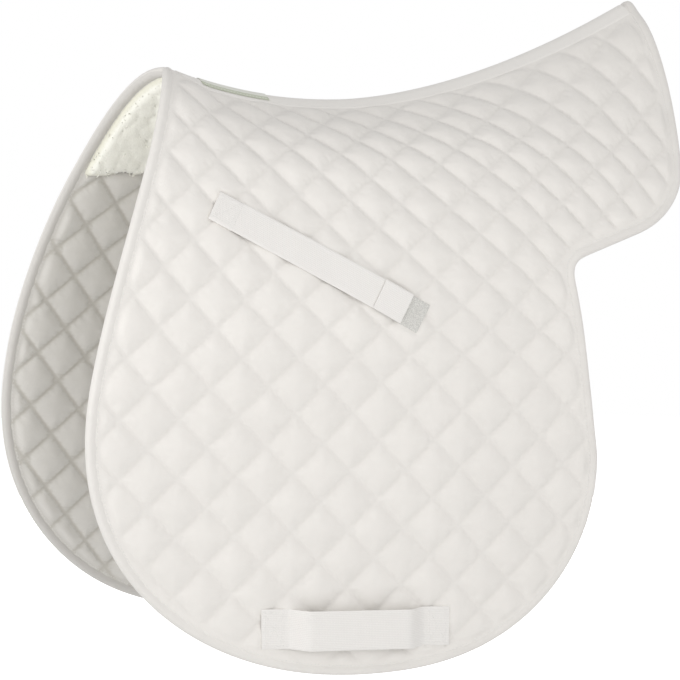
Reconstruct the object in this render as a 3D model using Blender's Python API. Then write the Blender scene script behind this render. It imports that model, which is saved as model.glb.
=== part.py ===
# Numnah: a saddle-shaped quilted saddle pad, carried by its spine on a horse's back.
# X runs from the pommel to the cantle, the near side is at -Y and +Z is up.
# The origin lies under the fleece, at the lowest point of the spine.
# Each layer is cut flat, like the cloth, and then wrapped over the pad's surface.
# Flat places are (s, q, h): s along the fold line, q down from it, h out from the middle layer.

from math import cos, radians, sin, sqrt, tan

import bmesh
import bpy
import numpy as np

# Spine, seen from the side: runs are level and rises are above the lowest point
POMMEL_RUN = 0.186
POMMEL_RISE = 0.0335
CANTLE_RUN = 0.346
CANTLE_RISE = 0.1015
POMMEL_POWER = 2.15
CANTLE_POWER = 1.73

# Fold line, where each flap bends: its place under the lowest point of the spine, and its splay
FOLD_HALF_WIDTH = 0.110
FOLD_DEPTH = 0.061
SPLAY = radians(5.0)
SLOPE_FRONT = radians(22.0)
SLOPE_REAR = radians(34.0)
SLOPE_FRONT_S = -0.290
SLOPE_REAR_S = 0.060
BEND_LENGTH = 0.180
CROWN_SHARE = 0.36
SHOULDER_SHARE = 0.50

# Flap lobes: an ellipse quarter in front and a squarer one behind
FRONT_REACH = 0.3105
FRONT_REACH_DROP = 0.243
FLAP_DROP = 0.481
FLAP_LOWEST_S = -0.018
REAR_REACH = 0.198
REAR_REACH_DROP = 0.288
FRONT_LOBE_POWER = 2.1
REAR_LOBE_POWER = 2.12
FRONT_LOBE_STEPS = 15
REAR_LOBE_STEPS = 13
FRONT_EDGE_EASE = 0.085
FRONT_EDGE_START = 0.55

# Notch and cantle wing
NOTCH_S = 0.1725
NOTCH_DROP = 0.0985
NOTCH_RADIUS = 0.016
WING_CORNER_S = 0.309
WING_CORNER_DROP = 0.053
WING_CORNER_RADIUS = 0.098
REAR_EDGE_BOW = 0.0035

# Layers, from the middle outward
WADDING_THICKNESS = 0.0035
LAYER_GAP = 0.0003
EDGE_GAP = 0.0008
CUTTER_REACH = 0.0400
CUTTER_SIDE = 2.0
LEVEL_SHARE = 0.5
CHANNEL_THICKNESS = 0.0010
COVER_PUFF = 0.0040
LINING_PUFF = 0.0034
FLEECE_PILE = 0.0090

# Quilting: squares on their corners
QUILT_PITCH = 0.039
QUILT_TURN = radians(2.5)
QUILT_CROSSING_S = 0.084
QUILT_CROSSING_Q = 0.210

# Binding tape, folded over the edge
BINDING_WIDTH = 0.012
BINDING_FRONT = 0.0050
BINDING_BACK = 0.0042
BINDING_ROUND_SHARE = 0.35
BINDING_EDGE_SHARE = 0.40
OUTLINE_STEP = 0.022

# Spine tape and its blank label
TAPE_WIDTH = 0.024
TAPE_THICKNESS = 0.0012
TAPE_SEAT = 0.0036
TAPE_END_INSET = 0.0180
LABEL_LENGTH = 0.070
LABEL_WIDTH = 0.022
LABEL_THICKNESS = 0.0008
LABEL_FROM_POMMEL = 0.035

# How far each flap swings about its fold, away from the horse and in toward it
FLAP_LIFT = radians(45.0)
FLAP_SWING_IN = radians(12.0)
PIVOT_SIZE = 0.030

# Saddle strap with its hook and loop patch
WEBBING_THICKNESS = 0.0016
STRAP_WIDTH = 0.029
STRAP_LENGTH = 0.204
STRAP_ANGLE = radians(31.0)
STRAP_START_S = -0.181
STRAP_START_Q = 0.030
STRAP_ANCHOR_LENGTH = 0.024
STRAP_TAB_LENGTH = 0.030
PATCH_LENGTH = 0.048
PATCH_THICKNESS = 0.0012
PATCH_OVERHANG = 0.020
STRAP_SEAT = 0.0040
SEAT_GAP = 0.0006
SEAT_MARGIN = 0.0010

# Girth loop
LOOP_WIDTH = 0.038
LOOP_LENGTH = 0.186
LOOP_S = -0.055
LOOP_Q = 0.432
LOOP_SLOPE = radians(5.0)
LOOP_SEWN_LENGTH = 0.024
LOOP_RISE_LENGTH = 0.022
LOOP_CLEARANCE = 0.0090

# Box stitching, a closed frame of thread
THREAD_THICKNESS = 0.0008
STITCH_WIDTH = 0.0022
STITCH_INSET = 0.0030

MIDDLE = WADDING_THICKNESS / 2
COVER_BASE = MIDDLE + LAYER_GAP
COVER_TOP = COVER_BASE + CHANNEL_THICKNESS + COVER_PUFF
FLEECE_FACE = COVER_BASE + FLEECE_PILE
CREST_Z = FLEECE_FACE
FOLD_GAP = (COVER_TOP * sin(FLAP_LIFT) + LAYER_GAP) / (1 + cos(FLAP_LIFT))
SEAT_FACE = STRAP_SEAT + SEAT_GAP
STRAP_BASE = SEAT_FACE + PATCH_THICKNESS + SEAT_GAP
STRAP_TOP = STRAP_BASE + WEBBING_THICKNESS
TAB_BASE = STRAP_TOP + SEAT_GAP
TAPE_BASE = TAPE_SEAT + LAYER_GAP
LABEL_BASE = TAPE_BASE + TAPE_THICKNESS + LAYER_GAP
LOOP_BASE = COVER_TOP + LOOP_CLEARANCE

ALONG = np.array([cos(SPLAY), -sin(SPLAY), 0.0])
OUT = np.array([-sin(SPLAY), -cos(SPLAY), 0.0])
DOWN = np.array([0.0, 0.0, -1.0])
FOLD_START = np.array([0.0, -FOLD_HALF_WIDTH, CREST_Z - FOLD_DEPTH])

COTTON = (0.80, 0.77, 0.74)
BINDING_COTTON = (0.83, 0.79, 0.77)
LINING_COTTON = (0.62, 0.60, 0.56)
WOOL = (0.86, 0.83, 0.74)
WEBBING = (0.80, 0.78, 0.76)
FILLING = (0.88, 0.88, 0.86)
HOOK_TAPE = (0.62, 0.60, 0.59)
LABEL_GREEN = (0.42, 0.50, 0.36)


# The surface

def crest_height(x):
    front = POMMEL_RISE * (np.clip(-x, 0, None) / POMMEL_RUN) ** POMMEL_POWER
    rear = CANTLE_RISE * (np.clip(x, 0, None) / CANTLE_RUN) ** CANTLE_POWER
    return CREST_Z + front + rear


def top_slope(s):
    share = np.clip((s - SLOPE_FRONT_S) / (SLOPE_REAR_S - SLOPE_FRONT_S), 0, 1)
    return SLOPE_FRONT + (SLOPE_REAR - SLOPE_FRONT) * share * share * (3 - 2 * share)


def flap_point(s, q):
    slope = top_slope(s)
    radius = BEND_LENGTH / slope
    angle = slope - np.clip(q, 0, BEND_LENGTH) / radius
    outward = radius * (np.cos(angle) - np.cos(slope))
    downward = radius * (np.sin(slope) - np.sin(angle)) + np.clip(q - BEND_LENGTH, 0, None)
    return FOLD_START + s[:, None] * ALONG + outward[:, None] * OUT + downward[:, None] * DOWN


def arch_handles(s):
    fold = FOLD_START + s[:, None] * ALONG
    crest = fold * (1, 0, 0)
    crest[:, 2] = crest_height(fold[:, 0])
    crown = crest + (fold - crest) * (0, CROWN_SHARE, 0)
    slope = top_slope(s)[:, None]
    depth = (crest - fold)[:, 2:]
    shoulder = fold - SHOULDER_SHARE * depth * (np.sin(slope) * OUT + np.cos(slope) * DOWN)
    return crest, crown, shoulder, fold


def bezier(handles, t):
    a, b, c, d = handles
    u = 1 - t
    return u ** 3 * a + 3 * u * u * t * b + 3 * u * t * t * c + t ** 3 * d


def arch_lengths(handles, steps=48):
    t = np.linspace(0, 1, steps + 1)
    points = np.stack([bezier(handles, value) for value in t], axis=1)
    pieces = np.linalg.norm(np.diff(points, axis=1), axis=2)
    return t, np.concatenate([np.zeros((len(points), 1)), np.cumsum(pieces, axis=1)], axis=1)


def arch_length(s):
    return arch_lengths(arch_handles(np.atleast_1d(float(s))))[1][0, -1]


def arch_point(s, q):
    # Past the crest the cloth goes down the far side in the same way
    handles = arch_handles(s)
    t, lengths = arch_lengths(handles)
    wanted = lengths[:, -1] + q
    share = np.array([np.interp(value, row, t) for value, row in zip(np.abs(wanted), lengths)])
    point = bezier(handles, share[:, None])
    point[:, 1] *= np.where(wanted < 0, -1, 1)
    return point


def middle_point(s, q):
    return np.where((q < 0)[:, None], arch_point(s, np.minimum(q, 0)), flap_point(s, np.maximum(q, 0)))


def wrapped(places):
    s, q, h = np.asarray(places, float).reshape(-1, 3).T
    step = 0.0002
    down = middle_point(s, q + step) - middle_point(s, q - step)
    rearward = middle_point(s + step, q) - middle_point(s - step, q)
    normal = np.cross(down, rearward)
    normal /= np.linalg.norm(normal, axis=1)[:, None]
    return middle_point(s, q) + h[:, None] * normal


# The flat outline of one side

def stepped(start, end):
    start, end = np.array(start), np.array(end)
    count = max(1, round(np.linalg.norm(end - start) / OUTLINE_STEP))
    return [start + (end - start) * i / count for i in range(count)]


def corner(before, at, after, radius, steps):
    before, at, after = (np.array(point, float) for point in (before, at, after))
    back = (before - at) / np.linalg.norm(before - at)
    on = (after - at) / np.linalg.norm(after - at)
    half = np.arccos(np.clip(back @ on, -1, 1)) / 2
    centre = at + (back + on) / np.linalg.norm(back + on) * radius / sin(half)
    start = at + back * radius / np.tan(half) - centre
    end = at + on * radius / np.tan(half) - centre
    turn = np.arctan2(start[0] * end[1] - start[1] * end[0], start @ end)
    return [centre + [start[0] * cos(turn * i / steps) - start[1] * sin(turn * i / steps),
                      start[0] * sin(turn * i / steps) + start[1] * cos(turn * i / steps)]
            for i in range(steps + 1)]


def lobe(reach_s, reach_drop, power, steps):
    width = reach_s - FLAP_LOWEST_S
    height = FLAP_DROP - reach_drop
    angles = np.linspace(0, np.pi / 2, steps + 1)
    return [np.array([FLAP_LOWEST_S + width * cos(angle) ** (2 / power),
                      reach_drop + height * sin(angle) ** (2 / power)]) for angle in angles]


def outline():
    fold_share = cos(SPLAY)
    pommel = np.array([-POMMEL_RUN / fold_share, -arch_length(-POMMEL_RUN / fold_share)])
    cantle = np.array([CANTLE_RUN / fold_share, -arch_length(CANTLE_RUN / fold_share)])
    foremost = np.array([-FRONT_REACH, FRONT_REACH_DROP])
    rearmost = np.array([REAR_REACH, REAR_REACH_DROP])
    notch = np.array([NOTCH_S, NOTCH_DROP])
    wing = np.array([WING_CORNER_S, WING_CORNER_DROP])
    ease = foremost - (0, FRONT_EDGE_EASE)
    toward = pommel + (ease - pommel) * FRONT_EDGE_START
    steps = round(np.linalg.norm(foremost - pommel) / OUTLINE_STEP)
    front = [bezier((pommel, toward, ease, foremost), i / steps) for i in range(steps)]
    round_front = lobe(-FRONT_REACH, FRONT_REACH_DROP, FRONT_LOBE_POWER, FRONT_LOBE_STEPS)
    round_rear = lobe(REAR_REACH, REAR_REACH_DROP, REAR_LOBE_POWER, REAR_LOBE_STEPS)[::-1]
    inner = corner(rearmost, notch, wing, NOTCH_RADIUS, 4)
    outer = corner(notch, wing, cantle, WING_CORNER_RADIUS, 6)
    points = front + round_front + round_rear[1:-1]
    points += stepped(rearmost, inner[0]) + inner[:-1]
    points += stepped(inner[-1], outer[0]) + outer[:-1] + bowed(outer[-1], cantle) + [cantle]
    return past_crest(np.array(points))


def bowed(start, end):
    length = np.linalg.norm(end - start)
    onward = (end - start) / length
    rearward = np.array([-onward[1], onward[0]]) * REAR_EDGE_BOW * 4 / 3
    pull = (start, start + onward * length / 3 + rearward, end - onward * length / 3 + rearward, end)
    steps = round(length / OUTLINE_STEP)
    return [bezier(pull, i / steps) for i in range(steps)]


def past_crest(points):
    reach = TAPE_WIDTH
    first = points[0] + (points[0] - points[1]) / np.linalg.norm(points[0] - points[1]) * reach
    last = points[-1] + (points[-1] - points[-2]) / np.linalg.norm(points[-1] - points[-2]) * reach
    return np.vstack([first, points, last])


def inset(points, distance):
    ahead = np.vstack([points[1:] - points[:-1], points[-1] - points[-2]])
    behind = np.vstack([points[1] - points[0], points[1:] - points[:-1]])
    ahead /= np.linalg.norm(ahead, axis=1)[:, None]
    behind /= np.linalg.norm(behind, axis=1)[:, None]
    tangent = ahead + behind
    tangent /= np.linalg.norm(tangent, axis=1)[:, None]
    inward = np.stack([tangent[:, 1], -tangent[:, 0]], axis=1)
    stretch = 1 / np.clip((tangent * ahead).sum(axis=1), 0.5, 1)
    return points + inward * (distance * stretch)[:, None]


def crossing(a, b, q):
    share = (q - a[1]) / (b[1] - a[1])
    return a + (b - a) * share


def clipped(points, q, below):
    kept = []
    for a, b in zip(points[:-1], points[1:]):
        inside_a = (a[1] > q) == below
        inside_b = (b[1] > q) == below
        if inside_a:
            kept.append(a)
        if inside_a != inside_b:
            kept.append(crossing(a, b, q))
    if (points[-1][1] > q) == below:
        kept.append(points[-1])
    return np.array(kept)


def runs_above(points, q):
    half = len(points) // 2
    return clipped(points[:half], q, False), clipped(points[half:], q, False)


# Objects and materials

def clear_scene():
    for item in list(bpy.data.objects):
        bpy.data.objects.remove(item, do_unlink=True)


def collection(name):
    made = bpy.data.collections.new(name)
    bpy.context.scene.collection.children.link(made)
    return made


def material(name, color, roughness):
    made = bpy.data.materials.new(name)
    made.use_nodes = True
    shader = made.node_tree.nodes["Principled BSDF"]
    shader.inputs["Base Color"].default_value = (*color, 1.0)
    shader.inputs["Roughness"].default_value = roughness
    shader.inputs["Metallic"].default_value = 0.0
    return made


def new_object(name, bm, home):
    mesh = bpy.data.meshes.new(name)
    bm.to_mesh(mesh)
    bm.free()
    item = bpy.data.objects.new(name, mesh)
    home.objects.link(item)
    return item


def new_cutter(name, bm):
    item = new_object(name, bm, cutters)
    item.hide_render = True
    item.display_type = "WIRE"
    return item


def evaluated_bmesh(item):
    graph = bpy.context.evaluated_depsgraph_get()
    mesh = bpy.data.meshes.new_from_object(item.evaluated_get(graph))
    bm = bmesh.new()
    bm.from_mesh(mesh)
    bpy.data.meshes.remove(mesh)
    return bm


def boolean(item, cutter, operation, solver="EXACT"):
    cut = item.modifiers.new(operation.lower(), "BOOLEAN")
    cut.object = cutter
    cut.operation = operation
    cut.solver = solver


def baked(item):
    bm = evaluated_bmesh(item)
    bmesh.ops.remove_doubles(bm, verts=bm.verts, dist=0.00001)
    bmesh.ops.triangulate(bm, faces=bm.faces, quad_method="BEAUTY", ngon_method="BEAUTY")
    item.modifiers.clear()
    bm.to_mesh(item.data)
    bm.free()


def wrap(item):
    mesh = item.data
    places = np.empty(len(mesh.vertices) * 3)
    mesh.vertices.foreach_get("co", places)
    mesh.vertices.foreach_set("co", wrapped(places).ravel())
    mesh.update()


def faces_outward(item):
    bm = bmesh.new()
    bm.from_mesh(item.data)
    bmesh.ops.recalc_face_normals(bm, faces=bm.faces)
    bm.to_mesh(item.data)
    bm.free()


def far_twin(item, name):
    bm = bmesh.new()
    bm.from_mesh(item.data)
    bmesh.ops.scale(bm, vec=(1, -1, 1), verts=bm.verts)
    bmesh.ops.reverse_faces(bm, faces=bm.faces)
    return new_object(name, bm, parts)


# Flat solids

def prism(name, points, low, high):
    bm = bmesh.new()
    base = bm.faces.new([bm.verts.new((s, q, low)) for s, q in points])
    raised = bmesh.ops.extrude_face_region(bm, geom=[base])["geom"]
    lifted = [part for part in raised if isinstance(part, bmesh.types.BMVert)]
    bmesh.ops.translate(bm, vec=(0, 0, high - low), verts=lifted)
    bmesh.ops.recalc_face_normals(bm, faces=bm.faces)
    return new_cutter(name, bm)


def quilt_grid():
    reach = max(CANTLE_RUN, FRONT_REACH) + FLAP_DROP
    count = 2 * int(reach / QUILT_PITCH / sqrt(2) + 2)
    bm = bmesh.new()
    bmesh.ops.create_grid(bm, x_segments=count, y_segments=count, size=count * QUILT_PITCH / 2)
    turn = radians(45.0) + QUILT_TURN
    for vert in bm.verts:
        x, y, _ = vert.co
        vert.co.x = QUILT_CROSSING_S + x * cos(turn) - y * sin(turn)
        vert.co.y = QUILT_CROSSING_Q + x * sin(turn) + y * cos(turn)
    return bm


def split_level(bm):
    for face in [face for face in bm.faces if len(face.verts) == 4]:
        low = min(face.verts, key=lambda vert: vert.co.x)
        high = max(face.verts, key=lambda vert: vert.co.x)
        if abs(face.normal.z) > LEVEL_SHARE:
            bmesh.utils.face_split(face, low, high)


def layer(name, base, face, puff):
    bm = quilt_grid()
    bmesh.ops.translate(bm, vec=(0, 0, base), verts=bm.verts)
    raised = bmesh.ops.extrude_face_region(bm, geom=list(bm.faces))["geom"]
    lifted = [part for part in raised if isinstance(part, bmesh.types.BMVert)]
    tops = [part for part in raised if isinstance(part, bmesh.types.BMFace)]
    bmesh.ops.translate(bm, vec=(0, 0, face - base), verts=lifted)
    if puff:
        centres = bmesh.ops.poke(bm, faces=tops)["verts"]
        bmesh.ops.translate(bm, vec=(0, 0, puff), verts=centres)
    bm.normal_update()
    split_level(bm)
    bmesh.ops.recalc_face_normals(bm, faces=bm.faces)
    return new_object(name, bm, parts)


def strip(bm, stations):
    corners = [bm.verts.new(place) for place in stations[0]]
    face = bm.faces.new(corners)
    for index, station in enumerate(stations[1:]):
        raised = bmesh.ops.extrude_face_region(bm, geom=[face])["geom"]
        if index:
            bmesh.ops.delete(bm, geom=[face], context="FACES_ONLY")
        face = next(part for part in raised if isinstance(part, bmesh.types.BMFace))
        corners = [next(edge.other_vert(vert) for edge in vert.link_edges
                        if edge.other_vert(vert) in face.verts) for vert in corners]
        for vert, place in zip(corners, station):
            vert.co = place


def solid_strip(name, stations, cutter=False):
    bm = bmesh.new()
    strip(bm, stations)
    bmesh.ops.recalc_face_normals(bm, faces=bm.faces)
    bmesh.ops.triangulate(bm, faces=[face for face in bm.faces if len(face.verts) > 4])
    return new_cutter(name, bm) if cutter else new_object(name, bm, parts)


def band(path, side, half_width, low, high):
    # A rectangle at each place of a path, square to it, from low to high
    return [[(s - side[0] * half_width, q - side[1] * half_width, low_at),
             (s + side[0] * half_width, q + side[1] * half_width, low_at),
             (s + side[0] * half_width, q + side[1] * half_width, high_at),
             (s - side[0] * half_width, q - side[1] * half_width, high_at)]
            for (s, q), low_at, high_at in zip(path, low, high)]


STRAP_RUN = np.array([cos(STRAP_ANGLE), sin(STRAP_ANGLE)])
STRAP_SIDE = np.array([-sin(STRAP_ANGLE), cos(STRAP_ANGLE)])
STRAP_START = np.array([STRAP_START_S, STRAP_START_Q])


def strap_band(start, end, half_width, low, high):
    count = max(1, round((end - start) / OUTLINE_STEP))
    path = [STRAP_START + STRAP_RUN * (start + (end - start) * i / count) for i in range(count + 1)]
    return band(path, STRAP_SIDE, half_width, [low] * (count + 1), [high] * (count + 1))


def loop_path(lengths):
    return [(LOOP_S + length, LOOP_Q + length * np.tan(LOOP_SLOPE)) for length in lengths]


# The pad's layers

def region(name, below):
    kept = clipped(inset(edge_line, BINDING_WIDTH + EDGE_GAP), 0.0, below)
    return prism(name, kept, -CUTTER_REACH, CUTTER_REACH)


def fold_groove():
    # Narrow at the middle of the wadding, where the flap turns, and wider outward and inward
    narrow = LAYER_GAP / 2
    outer = narrow + CUTTER_REACH * tan(FLAP_LIFT / 2)
    inner = narrow + CUTTER_REACH * tan(FLAP_SWING_IN / 2)
    section = [(-narrow, 0.0), (-outer, CUTTER_REACH), (outer, CUTTER_REACH),
               (narrow, 0.0), (inner, -CUTTER_REACH), (-inner, -CUTTER_REACH)]
    ends = (-FRONT_REACH - TAPE_WIDTH, CANTLE_RUN + TAPE_WIDTH)
    return solid_strip("fold_groove", [[(s, q, h) for q, h in section] for s in ends], cutter=True)


def near_half():
    bm = bmesh.new()
    bmesh.ops.create_cube(bm, size=CUTTER_SIDE)
    bmesh.ops.translate(bm, vec=(0, -(CUTTER_SIDE + LAYER_GAP) / 2, 0), verts=bm.verts)
    return new_cutter("near_half", bm)


def tape_recess():
    count = 22
    places = np.linspace(-POMMEL_RUN - TAPE_WIDTH, CANTLE_RUN + TAPE_WIDTH, count + 1) / cos(SPLAY)
    inner = TAPE_WIDTH / 2 + SEAT_MARGIN
    stations = []
    for s in places:
        crest = -arch_length(s)
        stations.append([(s, crest - TAPE_WIDTH, TAPE_SEAT), (s, crest + inner, TAPE_SEAT),
                         (s, crest + inner, CUTTER_REACH), (s, crest - TAPE_WIDTH, CUTTER_REACH)])
    return solid_strip("tape_recess", stations, cutter=True)


def strap_recess():
    stations = strap_band(-SEAT_MARGIN, STRAP_LENGTH + PATCH_OVERHANG + SEAT_MARGIN,
                          STRAP_WIDTH / 2 + SEAT_MARGIN, STRAP_SEAT, CUTTER_REACH)
    return solid_strip("strap_recess", stations, cutter=True)


def loop_recess(index):
    far_end = LOOP_LENGTH / 2 + SEAT_MARGIN
    near_end = LOOP_LENGTH / 2 - LOOP_SEWN_LENGTH - LOOP_RISE_LENGTH
    sign = (-1, 1)[index]
    path = loop_path(sorted((sign * near_end, sign * far_end)))
    stations = band(path, (0, 1), LOOP_WIDTH / 2 + SEAT_MARGIN, [STRAP_SEAT] * 2, [CUTTER_REACH] * 2)
    return solid_strip(f"loop_recess_{index}", stations, cutter=True)


def cut_layer(name, base, face, puff, cutters_here, crosses_crest):
    item = layer(name, base, face, puff)
    for cutter, operation in cutters_here:
        boolean(item, cutter, operation)
    baked(item)
    wrap(item)
    if crosses_crest:
        boolean(item, half_box, "INTERSECT", "MANIFOLD")
        baked(item)
    faces_outward(item)
    return item


def top_layers(groove):
    cuts = [(region("top_outline", False), "INTERSECT"), (groove, "DIFFERENCE")]
    recess = (tape_recess(), "DIFFERENCE")
    cover = cut_layer("near_top_cover", COVER_BASE, COVER_BASE + CHANNEL_THICKNESS, COVER_PUFF,
                      cuts + [recess], True)
    wadding = cut_layer("near_top_wadding", -MIDDLE, MIDDLE, 0, cuts, True)
    fleece = cut_layer("near_fleece", -COVER_BASE, -FLEECE_FACE, 0, cuts, True)
    return cover, wadding, fleece


def flap_layers(groove):
    cuts = [(region("flap_outline", True), "INTERSECT"), (groove, "DIFFERENCE")]
    recesses = [(cutter, "DIFFERENCE") for cutter in (strap_recess(), loop_recess(0), loop_recess(1))]
    cover = cut_layer("near_flap_cover", COVER_BASE, COVER_BASE + CHANNEL_THICKNESS, COVER_PUFF,
                      cuts + recesses, False)
    wadding = cut_layer("near_flap_wadding", -MIDDLE, MIDDLE, 0, cuts, False)
    lining = cut_layer("near_flap_lining", -COVER_BASE, -COVER_BASE - CHANNEL_THICKNESS, -LINING_PUFF,
                       cuts, False)
    return cover, wadding, lining


# The edges and the spine

def wrapped_strip(name, stations):
    item = solid_strip(name, stations)
    wrap(item)
    faces_outward(item)
    return item


def binding_station(inner, middle, edge):
    edge_front = BINDING_FRONT * BINDING_EDGE_SHARE
    edge_back = BINDING_BACK * BINDING_EDGE_SHARE
    return [(*inner, -BINDING_BACK), (*inner, BINDING_FRONT), (*middle, BINDING_FRONT),
            (*edge, edge_front), (*edge, -edge_back), (*middle, -BINDING_BACK)]


def cut_at_fold(line, q):
    # The tape's ends are cut along the fold line
    trimmed = line.copy()
    for end, inner in ((0, 1), (-1, -2)):
        if abs(line[end][1] - q) < BINDING_WIDTH:
            trimmed[end] = crossing(line[inner], line[end], q)
    return trimmed


def binding_lines(points, q):
    insets = (BINDING_WIDTH, BINDING_WIDTH * BINDING_ROUND_SHARE, 0)
    return [cut_at_fold(inset(points, distance), q) for distance in insets]


def flap_binding_piece():
    lines = binding_lines(clipped(edge_line, FOLD_GAP, True), FOLD_GAP)
    return wrapped_strip("near_flap_binding", [binding_station(*row) for row in zip(*lines)])


def on_far_side(places):
    return [(s, -2 * arch_length(s) - q, h) for s, q, h in places]


def arch_binding(name, points, starts_at_crest):
    # One length of tape, from the near fold over the crest to the far fold
    rows = list(zip(*binding_lines(points, -FOLD_GAP)))
    rows = rows[:0:-1] if starts_at_crest else rows[:-1]
    edge_s = points[0][0] if starts_at_crest else points[-1][0]
    inward = 1 if starts_at_crest else -1
    crest_places = [edge_s + inward * BINDING_WIDTH * share for share in (1, BINDING_ROUND_SHARE, 0)]
    crest = [(s, -arch_length(s)) for s in crest_places]
    near = [binding_station(*row) for row in rows]
    far = [on_far_side(station) for station in reversed(near)]
    return wrapped_strip(name, near + [binding_station(*crest)] + far)


def crest_strip(name, start_x, end_x, half_width, low, high):
    count = max(2, round((end_x - start_x) / OUTLINE_STEP))
    across = np.linspace(-half_width, half_width, 5)
    stations = []
    for x in np.linspace(start_x, end_x, count + 1):
        s = x / cos(SPLAY)
        crest = -arch_length(s)
        stations.append([(s, crest + q, low) for q in across] + [(s, crest + q, high) for q in across[::-1]])
    return wrapped_strip(name, stations)


def spine_pieces():
    front = -POMMEL_RUN + TAPE_END_INSET
    rear = CANTLE_RUN - TAPE_END_INSET
    tape = crest_strip("spine_tape", front, rear, TAPE_WIDTH / 2, TAPE_BASE, TAPE_BASE + TAPE_THICKNESS)
    start = -POMMEL_RUN + LABEL_FROM_POMMEL
    label = crest_strip("spine_label", start, start + LABEL_LENGTH, LABEL_WIDTH / 2,
                        LABEL_BASE, LABEL_BASE + LABEL_THICKNESS)
    return tape, label


# Straps and loops

def box_stitch(name, outer, inner):
    item = solid_strip(name, outer)
    boolean(item, solid_strip(f"{name}_inside", inner, cutter=True), "DIFFERENCE")
    baked(item)
    wrap(item)
    faces_outward(item)
    return item


def strap_pieces():
    half = STRAP_WIDTH / 2
    anchor = wrapped_strip("near_strap_anchor",
                           strap_band(0, STRAP_ANCHOR_LENGTH, half, SEAT_FACE, STRAP_TOP))
    strap = wrapped_strip("near_strap",
                          strap_band(STRAP_ANCHOR_LENGTH + LAYER_GAP, STRAP_LENGTH, half,
                                     STRAP_BASE, STRAP_TOP))
    tab = wrapped_strip("near_strap_tab",
                        strap_band(STRAP_LENGTH - STRAP_TAB_LENGTH, STRAP_LENGTH, half,
                                   TAB_BASE, TAB_BASE + WEBBING_THICKNESS))
    patch_end = STRAP_LENGTH + PATCH_OVERHANG
    patch = wrapped_strip("near_strap_patch",
                          strap_band(patch_end - PATCH_LENGTH, patch_end, half,
                                     SEAT_FACE, SEAT_FACE + PATCH_THICKNESS))
    low = STRAP_TOP + LAYER_GAP
    frame = [strap_band(STITCH_INSET + trim, STRAP_ANCHOR_LENGTH - STITCH_INSET - trim,
                        half - STITCH_INSET - trim, low - trim, low + THREAD_THICKNESS + trim)
             for trim in (0, STITCH_WIDTH)]
    stitching = box_stitch("near_strap_stitching", *frame)
    return anchor, patch, stitching, strap, tab


def loop_pieces():
    end = LOOP_LENGTH / 2
    sewn = end - LOOP_SEWN_LENGTH
    clear = sewn - LOOP_RISE_LENGTH
    lengths = [-end, -sewn, -clear, clear, sewn, end]
    low = [SEAT_FACE, SEAT_FACE, LOOP_BASE, LOOP_BASE, SEAT_FACE, SEAT_FACE]
    high = [value + WEBBING_THICKNESS for value in low]
    loop = wrapped_strip("near_girth_loop",
                         band(loop_path(lengths), (0, 1), LOOP_WIDTH / 2, low, high))
    low = SEAT_FACE + WEBBING_THICKNESS + LAYER_GAP
    ends = []
    for place, side in (("front", -1), ("rear", 1)):
        frame = []
        for trim in (0, STITCH_WIDTH):
            reach = sorted((side * (sewn + STITCH_INSET + trim), side * (end - STITCH_INSET - trim)))
            frame.append(band(loop_path(reach), (0, 1), LOOP_WIDTH / 2 - STITCH_INSET - trim,
                              [low - trim] * 2, [low + THREAD_THICKNESS + trim] * 2))
        ends.append(box_stitch(f"near_girth_loop_{place}_stitching", *frame))
    return loop, *ends


# Hinges

def pivot(name, place, carrier=None):
    item = bpy.data.objects.new(name, None)
    item.empty_display_size = PIVOT_SIZE
    parts.objects.link(item)
    item.parent = carrier
    item.location = np.array(place) - (pivot_places[carrier.name] if carrier else 0.0)
    pivot_places[name] = np.array(place)
    return item


def carried(item, hinge):
    points = np.empty(len(item.data.vertices) * 3)
    item.data.vertices.foreach_get("co", points)
    moved = points.reshape(-1, 3) - pivot_places[hinge.name]
    item.data.vertices.foreach_set("co", moved.ravel())
    item.data.update()
    item.parent = hinge


def strap_place(length, height):
    s, q = STRAP_START + STRAP_RUN * length
    return wrapped([(s, q, height)])[0]


def side_pivots(side, mirror):
    flap = pivot(f"{side}_flap_hinge", FOLD_START * mirror)
    strap = pivot(f"{side}_strap_hinge",
                  strap_place(STRAP_ANCHOR_LENGTH + LAYER_GAP / 2, STRAP_TOP) * mirror, flap)
    tab = pivot(f"{side}_strap_tab_hinge",
                strap_place(STRAP_LENGTH, STRAP_TOP + SEAT_GAP / 2) * mirror, strap)
    return {"spine": None, "flap": flap, "strap": strap, "tab": tab}


# The whole pad

clear_scene()
parts = collection("numnah")
cutters = collection("cutters")
pivot_places = {}
edge_line = outline()
half_box = near_half()

cotton = material("quilted_cotton", COTTON, 0.9)
edging = material("binding_cotton", BINDING_COTTON, 0.85)
lining_cotton = material("lining_cotton", LINING_COTTON, 0.9)
wool = material("fleece_wool", WOOL, 1.0)
webbing = material("webbing", WEBBING, 0.8)
filling = material("wadding_filling", FILLING, 1.0)
hook_tape = material("hook_tape", HOOK_TAPE, 0.95)
thread = material("thread", BINDING_COTTON, 0.6)
label_weave = material("label_weave", LABEL_GREEN, 0.7)

front_run, rear_run = runs_above(edge_line[1:-1], -FOLD_GAP)
tape, label = spine_pieces()
shared = [(tape, edging), (label, label_weave),
          (arch_binding("pommel_binding", front_run, True), edging),
          (arch_binding("cantle_binding", rear_run, False), edging)]
for item, look in shared:
    item.data.materials.append(look)

groove = fold_groove()
cover, wadding, fleece = top_layers(groove)
flap_cover, flap_wadding, flap_lining = flap_layers(groove)
flap_binding = flap_binding_piece()
anchor, patch, strap_stitching, strap, tab = strap_pieces()
girth_loop, front_stitching, rear_stitching = loop_pieces()

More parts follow.
